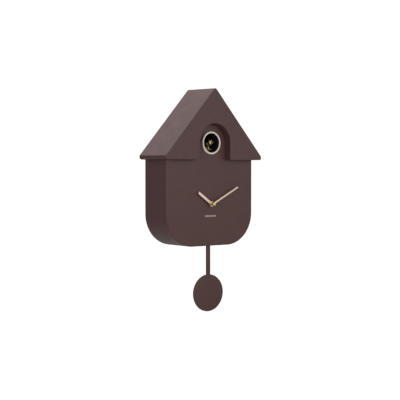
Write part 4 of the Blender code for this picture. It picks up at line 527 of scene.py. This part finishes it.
def add_islands(name, islands, material, body, *replaced, crease=35.0):
    """One piece of several closed surfaces, each a pair of points and faces."""
    points, faces, start = [], [], 0
    for island, its_faces in islands:
        points.append(np.asarray(island, float).reshape(-1, 3))
        faces += [[start + i for i in face] for face in its_faces]
        start += len(points[-1])
    return add_piece(name, np.concatenate(points), faces, material, body, *replaced,
                     crease=crease)


# ---------------------------------------------------------------- body
def body_outline(grow, tongue_steps=24):
    """The body front: rounded lower corners, shoulders, and the tongue behind the recess."""
    half, low, radius = BODY_HALF + grow, BODY_BOTTOM - grow, BODY_CORNER + grow
    tongue = TONGUE_RADIUS + grow
    top = BIRD_Z + tongue
    right = [(half, SHOULDER_Z, 0, 0), (tongue, SHOULDER_Z, 0, 0),
             (tongue, top, tongue, tongue_steps)]
    left = [(-x, z, r, s) for x, z, r, s in reversed(right)]
    return outline([(-half, low, radius, 28), (half, low, radius, 28)] + right + left)


def panel_with_holes(sections, holes):
    """Points and faces of a panel: loops stacked by depth form its side, and both ends are
    flat fills round the same holes."""
    bm = bmesh.new()

    def loop(points):
        made = [bm.verts.new(p) for p in points]
        return made, [bm.edges.new((made[i - 1], made[i])) for i in range(len(made))]

    def join(first, second):
        for i in range(len(first)):
            bm.faces.new((first[i - 1], first[i], second[i], second[i - 1]))

    loops = [loop(points) for points in sections]
    for near, far in zip(loops, loops[1:]):
        join(near[0], far[0])
    ends = [list(loops[0][1]), list(loops[-1][1])]
    for hole in holes:
        near, far = [loop(at_depth(hole, points[0][1])) for points in (sections[0], sections[-1])]
        join(near[0], far[0])
        ends[0] += near[1]
        ends[1] += far[1]
    for edges in ends:
        bmesh.ops.triangle_fill(bm, use_beauty=True, use_dissolve=False, edges=edges)
    bm.verts.index_update()
    points = np.array([v.co for v in bm.verts])
    faces = [[v.index for v in face.verts] for face in bm.faces]
    bm.free()
    return points, faces


def make_body():
    """The front panel with its rounded edge and two holes, and the wall that runs back from it
    as a band with the pendulum's slot."""
    panel_back = BODY_FRONT + WALL
    sections = [at_depth(body_outline(-BODY_EDGE - SUPPORT), BODY_FRONT)]
    sections += [at_depth(body_outline(-i), BODY_FRONT + d)
                 for i, d in zip(*quarter(BODY_EDGE, 6))]
    sections += [at_depth(body_outline(0.0), BODY_FRONT + BODY_EDGE + SUPPORT),
                 at_depth(body_outline(0.0), panel_back)]
    holes = [circle(0.0, BIRD_Z, RECESS_HOLE_RADIUS), circle(0.0, HAND_Z, HUB_HOLE_RADIUS, 32)]
    panel = panel_with_holes(sections, holes)

    def wall_path(inward):
        half, low = BODY_HALF - inward, BODY_BOTTOM + inward
        radius = BODY_CORNER - inward
        corner_arc = fillet((half, SHOULDER_Z), (half, low), (0.0, low), radius, 28)
        flat = np.array([[SLOT_HALF, low], [SLOT_HALF / 2, low], [0.0, low]])
        right = np.concatenate([[[half, SHOULDER_Z]], [[half, EAVE_Z]], corner_arc, flat])
        return np.concatenate([right, (right[:-1] * (-1, 1))[::-1]])

    slot = [ROD_Y - ROD_HALF_DEPTH - SLOT_PLAY, ROD_Y + ROD_HALF_DEPTH + SLOT_PLAY]
    rows = [(0.0, panel_back), (0.0, slot[0]), (0.0, slot[1]), (0.0, -BACK_EDGE - SUPPORT)]
    rows += [(i, -d) for i, d in list(zip(*quarter(BACK_EDGE, 4)))[::-1]]
    rows += [(WALL, 0.0), (WALL, slot[1]), (WALL, slot[0]), (WALL, panel_back)]
    points = np.stack([at_depth(wall_path(i), y) for i, y in rows], 1)
    along, around = points.shape[:2]

    # The slot lies two steps either way of the path's middle, between the second and the third
    # section.  Its cells are left out on the outside and the inside, and its sides are closed.
    near_outer, far_outer, far_inner, near_inner = 1, 2, around - 3, around - 2
    slot_start, slot_end = along // 2 - 2, along // 2 + 2
    band = capped_faces(along, around)
    faces = [face for face in band[:-2]
             if not (face[0] % around in (near_outer, far_inner)
                     and slot_start <= face[0] // around < slot_end)]
    for row in range(slot_start, slot_end):
        for outer, inner in ((near_outer, near_inner), (far_outer, far_inner)):
            faces.append([row * around + outer, (row + 1) * around + outer,
                          (row + 1) * around + inner, row * around + inner])
    for row in (slot_start, slot_end):
        faces.append([row * around + k for k in (near_outer, far_outer, far_inner, near_inner)])
    faces += band[-2:]
    add_islands("body_surface", [panel, (points, faces)], CASING, "casing", "body_shell")


def make_mark():
    """A plain printed row of short strokes in place of any lettering."""
    low, high = MARK_Z - MARK_TALL / 2, MARK_Z + MARK_TALL / 2
    corner_radius = MARK_WIDTH / 3
    strokes = []
    for place in range(-3, 4):
        left, right = place * MARK_PITCH - MARK_WIDTH / 2, place * MARK_PITCH + MARK_WIDTH / 2
        stroke = outline([(x, z, corner_radius, 4)
                          for x, z in ((left, low), (right, low), (right, high), (left, high))])
        solid = np.concatenate([at_depth(stroke, BODY_FRONT - MARK_PROUD),
                                at_depth(stroke, BODY_FRONT)])
        strokes.append((solid, capped_faces(2, len(stroke))))
    mark = add_islands("front_mark", strokes, MARK_PRINT, "casing")


# ---------------------------------------------------------------- ring and bird
def make_ring():
    """The bird's ring: a flat lip with rounded edges and a sleeve, turned about Y."""
    front, seat, back = RING_LOW.y, BODY_FRONT - GAP, RING_HIGH.y
    outer, bore, sleeve, lip = RING_HIGH.x, RING_BORE, RING_SLEEVE_RADIUS, RING_LIP
    profile = np.concatenate([
        [[bore, back], [bore, front + lip + SUPPORT]],
        corner((bore + lip, front + lip), lip, 180, 270),
        corner((outer - lip, front + lip), lip, 270, 360),
        [[outer, front + lip + SUPPORT], [outer, seat], [sleeve, seat], [sleeve, back]]])
    ring = turned_piece("ring_surface", profile, (0, 0, BIRD_Z), (0, 1, 0), RING_CREAM, "casing",
                        "bird_ring", steps=96, ring=True)
    ring.data.materials.append(TUNNEL_BLACK)
    centres = np.zeros(len(ring.data.polygons) * 3)
    ring.data.polygons.foreach_get("center", centres)
    x, y, z = centres.reshape(-1, 3).T
    wall_margin = 0.05 * MM
    inside = (np.hypot(x, z - BIRD_Z) < bore + wall_margin) & (y > front + lip + SUPPORT)
    ring.data.polygons.foreach_set("material_index", inside.astype(np.int32))


def at_bird(across, behind, above):
    """The place that many millimetres across, behind the front panel and above the ring's
    axis."""
    return np.array([across * MM, BODY_FRONT + behind * MM, BIRD_Z + above * MM])


def make_bird():
    """The bird is where a soft blend of ellipsoids is zero.  Each section stands across Y; from
    a middle line that runs beak to tail, the distance out to the surface is found by halving."""
    def field(x, y, z):
        total = 0.0
        for place, radii, degrees in BIRD_SHAPES:
            centre, tilt = at_bird(*place), math.radians(degrees)
            cos, sin = math.cos(tilt), math.sin(tilt)
            across, deep, tall = x - centre[0], y - centre[1], z - centre[2]
            ahead, up = deep * cos + tall * sin, tall * cos - deep * sin
            scale = np.asarray(radii) * MM
            reach = np.sqrt((across / scale[0]) ** 2 + (ahead / scale[1]) ** 2
                            + (up / scale[2]) ** 2)
            total = total + np.exp(-(reach - 1) * scale.min() / BIRD_SOFTNESS)
        return -BIRD_SOFTNESS * np.log(total)

    middle_y = BODY_FRONT + np.array(BIRD_MIDDLE_BEHIND) * MM
    middle_z = BIRD_Z + np.array(BIRD_MIDDLE_ABOVE) * MM
    search_from, search_to, tries = BIRD_SEARCH
    trial = np.linspace(BODY_FRONT + search_from, BODY_FRONT + search_to, tries)
    inside = trial[field(0.0, trial, np.interp(trial, middle_y, middle_z)) < 0]
    share = (1 - np.cos(np.linspace(0.0, math.pi, BIRD_ROWS))) / 2
    y = (inside[0] + (inside[-1] - inside[0]) * share)[:, None]
    z0 = np.interp(y, middle_y, middle_z)
    angle = np.linspace(0.0, math.tau, BIRD_COLUMNS, endpoint=False)[None, :]
    low = np.zeros((BIRD_ROWS, BIRD_COLUMNS))
    high = np.full((BIRD_ROWS, BIRD_COLUMNS), BIRD_WIDEST)
    for _ in range(BIRD_HALVINGS):
        reach = (low + high) / 2
        out = field(reach * np.cos(angle), y, z0 + reach * np.sin(angle)) > 0
        low, high = np.where(out, low, reach), np.where(out, reach, high)
    reach[0], reach[-1] = 0.0, 0.0
    points = np.stack([reach * np.cos(angle), y + 0 * angle, z0 + reach * np.sin(angle)], -1)
    bird = [(points, grid_faces(BIRD_ROWS, BIRD_COLUMNS, False, True).tolist())]

    # Legs turned about Z, and three toes each that spread forward on the perch.
    perch_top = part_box("bird_perch")[1].z
    leg_steps, toe_rows, toe_columns = 16, 9, 10
    for side in (-1, 1):
        x, y_leg = side * LEG_ACROSS, BODY_FRONT + LEG_BEHIND
        leg = revolved(np.array(LEG_PROFILE) * MM, (x, y_leg, perch_top + GAP - LEG_SINK),
                       (0, 0, 1), leg_steps)
        bird.append((leg, grid_faces(leg_steps, len(LEG_PROFILE), True, False).tolist()))
        for spread in (-TOE_SPREAD, 0.0, TOE_SPREAD):
            cos, sin = math.cos(math.radians(spread)), math.sin(math.radians(spread))
            toe = ellipsoid((x + sin * TOE_REACH, y_leg - cos * TOE_REACH,
                             perch_top + GAP + TOE_HEIGHT), TOE_RADII, toe_rows, toe_columns)
            bird.append((toe, grid_faces(toe_rows, toe_columns, False, True).tolist()))
    add_islands("bird_surface", bird, BIRD_GOLD, "bird", "bird", crease=60.0)
    eyes, eye_rows, eye_columns = [], 11, 14
    for side in (-1, 1):
        eye = ellipsoid(at_bird(side * EYE_ACROSS, EYE_BEHIND, EYE_ABOVE), [EYE_RADIUS] * 3,
                        eye_rows, eye_columns)
        eyes.append((eye, grid_faces(eye_rows, eye_columns, False, True).tolist()))
    eye_piece = add_islands("bird_eyes", eyes, EYE_DARK, "bird", crease=60.0)


# ---------------------------------------------------------------- hands
def make_hand(name, angle, width, length, hub_radius, metal):
    """A straight square-ended blade and a round hub, both with softened edges: the blade is
    its outline carried through its thickness, and the hub is turned about the arbor."""
    low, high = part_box(name)
    blade_front = high.y - BLADE_THICK
    across = np.array([math.cos(angle), -math.sin(angle)])
    along = np.array([math.sin(angle), math.cos(angle)])
    centre = np.array([0.0, HAND_Z])

    def blade(inset):
        half, reach = width / 2 - inset, length - inset
        corners = [centre + across * s * half + along * r
                   for s, r in ((-1, inset), (1, inset), (1, reach), (-1, reach))]
        return outline([(*corners[0], 0, 0), (*corners[1], 0, 0),
                        (*corners[2], BLADE_TIP_RADIUS, 4), (*corners[3], BLADE_TIP_RADIUS, 4)])

    round_edge = list(zip(*quarter(BLADE_EDGE, 3)))
    strip = SUPPORT / 3
    rows = [at_depth(blade(BLADE_EDGE + strip), blade_front)]
    rows += [at_depth(blade(i), blade_front + d) for i, d in round_edge]
    rows += [at_depth(blade(0.0), blade_front + BLADE_EDGE + strip),
             at_depth(blade(0.0), high.y - BLADE_EDGE - strip)]
    rows += [at_depth(blade(i), high.y - d) for i, d in round_edge[::-1]]
    rows.append(at_depth(blade(BLADE_EDGE + strip), high.y))
    points = np.stack(rows, 0)
    hub_back, hub_steps = high.y - 0.1 * MM, 64
    hub = np.concatenate([
        [[0.0, low.y], [hub_radius - HUB_EDGE - strip, low.y]],
        corner((hub_radius - HUB_EDGE, low.y + HUB_EDGE), HUB_EDGE, -90, 0, 5),
        [[hub_radius, hub_back], [0.0, hub_back]]])
    hub_points = revolved(hub, (0, 0, HAND_Z), (0, 1, 0), hub_steps)
    islands = [(points, capped_faces(*points.shape[:2])),
               (hub_points, grid_faces(hub_steps, len(hub), True, False).tolist())]
    add_islands(name + "_surface", islands, metal, name, name)


def make_cap():
    """The gold cap over the hands, turned about Y: a short drum with a generous round and a
    dome that falls with the square of the radius."""
    radius, front, back = CAP_HIGH.x, CAP_LOW.y, CAP_HIGH.y
    soft, dome_height = 0.9 * MM, 0.12 * MM
    dome = np.linspace(0.0, radius - soft, 6)
    sag = dome_height * (dome / (radius - soft)) ** 2
    profile = np.concatenate([
        np.stack([dome, front + sag], -1)[:-1],
        corner((radius - soft, front + sag[-1] + soft), soft, -90, 0, 8),
        [[radius, front + soft + SUPPORT + sag[-1]], [radius, back], [0.0, back]]])
    turned_piece("cap_surface", profile, (0, 0, HAND_Z), (0, 1, 0), CAP_GOLD, "minute_hand",
                 "hand_cap")


def make_nut():
    """Hexagon nut: at each turn and height the radius is the lesser of the hexagon's and of a
    cone that takes the corners off the front face; the bore is a second, inner wall."""
    front, back = NUT_LOW.y, NUT_HIGH.y
    angle = np.linspace(0.0, math.tau, 96, endpoint=False)[:, None]
    hexagon = NUT_HALF_FLATS / np.cos((angle % (math.pi / 3)) - math.pi / 6)
    height = np.array([0.0, 0.08, 0.16, 0.24, 0.32, 0.45, 1.0])[None, :] * (back - front)
    cone = NUT_HALF_FLATS * NUT_CONE_START + height * NUT_CONE_GROWTH
    bore = np.full((len(angle), 2), NUT_BORE)
    radii = np.concatenate([bore, np.minimum(hexagon, cone)], 1)
    depths = np.array([back, front, *(front + height[0])])
    points = np.stack([radii * np.cos(angle), depths[None, :] + 0 * angle,
                       HAND_Z + radii * np.sin(angle)], -1)
    add_piece("nut_surface", points.reshape(-1, 3),
              grid_faces(*points.shape[:2], True, True).tolist(), NUT_METAL, "casing",
              "movement_nut", crease=25.0)


# ---------------------------------------------------------------- pendulum
def make_pendulum():
    """The rod is its outline carried through its thickness.  The disc is turned about Y; both
    faces fall with the cube of the radius, and its rim is half round."""
    half, edge, top_radius = ROD_HIGH.x, 0.6 * MM, 1.0 * MM
    bar = outline([(-half, ROD_LOW.z, edge, 5), (half, ROD_LOW.z, edge, 5),
                   (half, ROD_HIGH.z, top_radius, 5), (-half, ROD_HIGH.z, top_radius, 5)])
    prism_piece("rod_surface", bar, ROD_LOW.y, ROD_HIGH.y, edge, PENDULUM_BROWN,
                "pendulum", "pendulum_rod")
    radius, centre_z = DISC_HIGH.x, DISC_LOW.z + DISC_HIGH.x
    deep = (DISC_HIGH.y - DISC_LOW.y) / 2
    rim, sag = 1.5 * MM, 0.7 * MM
    flat = np.linspace(0.0, radius - rim, 14)
    face = np.stack([flat, -(deep - sag * (flat / (radius - rim)) ** 3)], -1)
    level = face[-1][1]
    turn = np.linspace(-90.0, 90.0, 15)[1:-1]
    rim_arc = np.stack([radius - rim + rim * np.cos(np.radians(turn)),
                        -level * np.sin(np.radians(turn))], -1)
    profile = np.concatenate([face, rim_arc, (face * (1, -1))[::-1]])
    turned_piece("disc_surface", profile, (0, ROD_Y, centre_z), (0, 1, 0), PENDULUM_BROWN,
                 "pendulum", "pendulum_disc", steps=128, crease=60.0)


# ---------------------------------------------------------------- back
def cross_screw(number):
    """A dome-headed screw: height over turn and radius is a dome less a soft cross, where the
    cross is the greater of two bars, each the product of two smooth steps."""
    low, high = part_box(f"cover_screw_{number}")
    x, z = (low.x + high.x) / 2, (low.z + high.z) / 2
    head = high.x - x
    share = np.linspace(0.0, 1.0, 22)[None, :]
    angle = np.linspace(0.0, math.tau, 96, endpoint=False)[:, None]
    radius = head * share
    across, up = radius * np.cos(angle), radius * np.sin(angle)
    dome = SCREW_DOME * np.sqrt(np.clip(1 - share ** 2.6, 0, 1)) * np.ones_like(angle)

    def soft_step(distance):
        return 1 / (1 + np.exp(distance / CROSS_SOFTNESS))

    def bar(width_way, length_way):
        return (soft_step(np.abs(width_way) - CROSS_HALF_WIDTH)
                * soft_step(np.abs(length_way) - CROSS_REACH))

    inside_rim = share < 0.9
    tall = dome - CROSS_DEPTH * np.maximum(bar(across, up), bar(up, across)) * inside_rim
    tall = np.maximum(tall, SCREW_FLOOR)
    seat = COVER_HIGH.y + GAP
    front = np.stack([x + across, seat + tall, z + up], -1)
    shank = np.array([(head, 0.0), *(np.array(SCREW_SHANK) * MM)])
    reach, along = shank[None, :, 0], shank[None, :, 1]
    back = np.stack([x + reach * np.cos(angle), seat + along + 0 * angle,
                     z + reach * np.sin(angle)], -1)
    points = np.concatenate([front, back], 1)
    add_piece(f"screw_surface_{number}", points.reshape(-1, 3),
              grid_faces(*points.shape[:2], True, False).tolist(), SCREW_STEEL, "casing",
              f"cover_screw_{number}", crease=50.0)


def ribbed_knob(name, node, body, ribs, depth):
    """A knob whose side is scalloped: the radius dips by depth, ribs times round, and fades
    into a rounded, slightly dished outer face."""
    low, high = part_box(node)
    x, z = (low.x + high.x) / 2, (low.z + high.z) / 2
    radius = (high.x - low.x) / 2
    angle = np.linspace(0.0, math.tau, ribs * 12, endpoint=False)[:, None]
    soft, dish = 0.7 * MM, 0.35 * MM
    bend = np.radians([0, 22, 45, 67, 90])
    shoulder = np.stack([1 - soft / radius * (1 - np.cos(bend)),
                         high.y - soft + soft * np.sin(bend)], -1)
    side = np.concatenate([[[0.0, low.y], [1.0, low.y], [1.0, high.y - soft - SUPPORT]],
                           shoulder,
                           [[0.72, high.y], [0.66, high.y - dish], [0.0, high.y - dish]]])
    rib_weight = np.array([0, 1, 1, 1, 0.8, 0.5, 0.2, 0, 0, 0, 0])[None, :]
    dip = 1 - depth / radius * rib_weight * (0.5 - 0.5 * np.cos(ribs * angle))
    reach = radius * side[None, :, 0] * dip
    points = np.stack([x + reach * np.cos(angle), side[None, :, 1] + 0 * angle,
                       z + reach * np.sin(angle)], -1)
    add_piece(name, points.reshape(-1, 3),
              grid_faces(len(angle), points.shape[1], True, False).tolist(), KNOB_BLACK, body,
              node, crease=40.0)


make_roof()
make_body()
make_mark()
make_ring()
make_bird()
make_hand("hour_hand", HOUR_ANGLE, *HOUR_HAND, HOUR_METAL)
make_hand("minute_hand", MINUTE_ANGLE, *MINUTE_HAND, MINUTE_METAL)
make_cap()
make_nut()
make_pendulum()
for screw in range(1, 5):
    cross_screw(screw)
ribbed_knob("volume_knob_surface", "volume_knob", "volume_knob", ribs=18, depth=0.35 * MM)

# ---------------------------------------------------------------- finishes of the kept solids
BOARD_MASK = moulded_plastic("green_board", (0.02, 0.12, 0.05), 0.3, grain=0.6, pitch=900.0,
                             mottle=0.3).material
WHITE = moulded_plastic("natural_white_plastic", (0.72, 0.72, 0.68), 0.45).material
AMBER = moulded_plastic("amber_plastic", (0.55, 0.33, 0.09), 0.4).material
GREY = moulded_plastic("grey_plastic", (0.45, 0.45, 0.45), 0.45).material
CHIP = moulded_plastic("chip_black", (0.012, 0.012, 0.013), 0.5, grain=2.0, pitch=3000.0).material
COPPER = satin_metal("enamelled_copper", (0.62, 0.25, 0.11), 0.3, (1, 60, 1),
                     strength=0.5).material
DARK_METAL = satin_metal("dark_painted_metal", (0.09, 0.09, 0.095), 0.45).material
LABEL = moulded_plastic("cell_sleeve", (0.05, 0.09, 0.16), 0.28, grain=0.3, pitch=900.0,
                        mottle=0.3).material
PAPER = moulded_plastic("black_cone_paper", (0.02, 0.02, 0.02), 0.9, grain=6.0, pitch=500.0,
                        mottle=0.4).material
RUBBER = moulded_plastic("black_rubber", (0.012, 0.012, 0.012), 0.7, pitch=900.0,
                         mottle=0.2).material
WIRE = moulded_plastic("red_wire_sleeve", (0.35, 0.02, 0.015), 0.35, grain=0.2).material

# the finish for each material slot of the record, and for pieces that differ from their slot
BY_SLOT = {"casing_plastic": CASING, "cover_plastic": COVER_PLASTIC,
           "black_plastic": TUNNEL_BLACK, "ring_plastic": RING_CREAM, "bird_gold": BIRD_GOLD,
           "perch_plastic": PERCH_GREY, "hand_metal": MINUTE_METAL, "cap_metal": CAP_GOLD,
           "steel": SCREW_STEEL, "dark_metal": DARK_METAL, "white_plastic": WHITE,
           "amber_plastic": AMBER, "board": BOARD_MASK, "copper": COPPER, "cell_label": LABEL,
           "paper": PAPER, "rubber": RUBBER, "wire": WIRE, "grey_plastic": GREY}
KEPT_FINISH = {"battery_door": COVER_PLASTIC, "sound_chip": CHIP, "setting_knob": KNOB_BLACK,
               "sound_switch": KNOB_BLACK, "test_button": KNOB_BLACK, "hour_wheel": CAP_GOLD}
for subpart in frame["record"]["subparts"]:
    node = NODES[subpart["node"]]
    for place in node.material_slots:
        place.material = KEPT_FINISH.get(subpart["node"], BY_SLOT[subpart["material_slot"]])


# ---------------------------------------------------------------- floor, light and camera
def lamp(name, place, aim, size, power, colour):
    """A square soft light at a place, turned to its aim."""
    light = bpy.data.lights.new(name, "AREA")
    light.shape, light.size, light.energy, light.color = "SQUARE", size, power, colour
    obj = bpy.data.objects.new(name, light)
    bpy.context.scene.collection.objects.link(obj)
    obj.location = place
    obj.rotation_euler = (Vector(aim) - Vector(place)).to_track_quat("-Z", "Y").to_euler()


FLOOR_Z = -1.5
FLOOR_RADIUS = 3.7
FLOOR_SIDES = 128
floor_points = at_depth(circle(0.0, 0.0, FLOOR_RADIUS, FLOOR_SIDES), 0.0)[:, [0, 2, 1]]
floor_mesh = bpy.data.meshes.new("studio_floor")
floor_mesh.from_pydata((floor_points + (0, 0, FLOOR_Z)).tolist(), [], [list(range(FLOOR_SIDES))])
floor = bpy.data.objects.new("studio_floor", floor_mesh)
bpy.context.scene.collection.objects.link(floor)
floor_finish = Finish("pale_floor", (0.9, 0.9, 0.9), 0.8)
floor_finish.feed("Base Color", floor_finish.blend(floor_finish.noise(3.0), (0.89, 0.89, 0.89),
                                                   (0.92, 0.92, 0.92)))
floor_mesh.materials.append(floor_finish.material)

CENTRE = (0.0, -0.065, -0.15)
WHITE_LIGHT, WARM_LIGHT = (1.0, 1.0, 1.0), (1.0, 0.98, 0.96)
# name, place in metres, width of the panel, power in watts, colour
for light_name, light_place, width, watts, tint in (
        ("key_light", (0.25, -2.10, 0.18), 0.55, 7.5, WARM_LIGHT),
        ("right_panel", (0.98, -1.45, 0.22), 1.3, 3.6, WHITE_LIGHT),
        ("top_light", (0.10, 0.12, 1.40), 0.9, 20.0, WHITE_LIGHT),
        ("back_light", (-0.25, 1.25, 0.95), 1.6, 7.0, WHITE_LIGHT),
        ("side_fill", (-1.45, -1.00, 0.15), 0.5, 6.5, WHITE_LIGHT),
        ("edge_light", (-1.75, -1.35, -0.10), 0.22, 3.0, WARM_LIGHT)):
    lamp(light_name, light_place, CENTRE, width, watts, tint)

# The room is white where the camera sees it, and lights the clock with a weaker white.
ROOM_LIGHT = 0.26
BACKDROP_WHITE = 1.05
scene = bpy.context.scene
world = bpy.data.worlds.new("studio")
world.use_nodes = True
scene.world = world
tree = world.node_tree
room = tree.nodes["Background"]
room.inputs["Color"].default_value = (1.0, 1.0, 1.0, 1.0)
room.inputs["Strength"].default_value = ROOM_LIGHT
seen = tree.nodes.new("ShaderNodeBackground")
seen.inputs["Color"].default_value = (1.0, 1.0, 1.0, 1.0)
seen.inputs["Strength"].default_value = BACKDROP_WHITE
choice = tree.nodes.new("ShaderNodeMixShader")
rays = tree.nodes.new("ShaderNodeLightPath")
tree.links.new(rays.outputs["Is Camera Ray"], choice.inputs[0])
tree.links.new(room.outputs[0], choice.inputs[1])
tree.links.new(seen.outputs[0], choice.inputs[2])
tree.links.new(choice.outputs[0], tree.nodes["World Output"].inputs["Surface"])
scene.view_settings.view_transform = "Standard"

SENSOR_WIDTH, LENS = 36.0, 83.48
CAMERA_PLACE = (-1.02325, -1.37715, -0.10435)
CAMERA_AIM = (-0.02348, -0.0652, -0.15186)
camera_data = bpy.data.cameras.new("camera")
camera_data.sensor_width = SENSOR_WIDTH
camera_data.lens = LENS
camera = bpy.data.objects.new("camera", camera_data)
scene.collection.objects.link(camera)
camera.location = CAMERA_PLACE
camera.rotation_euler = (Vector(CAMERA_AIM) - camera.location).to_track_quat("-Z", "Y").to_euler()
scene.camera = camera
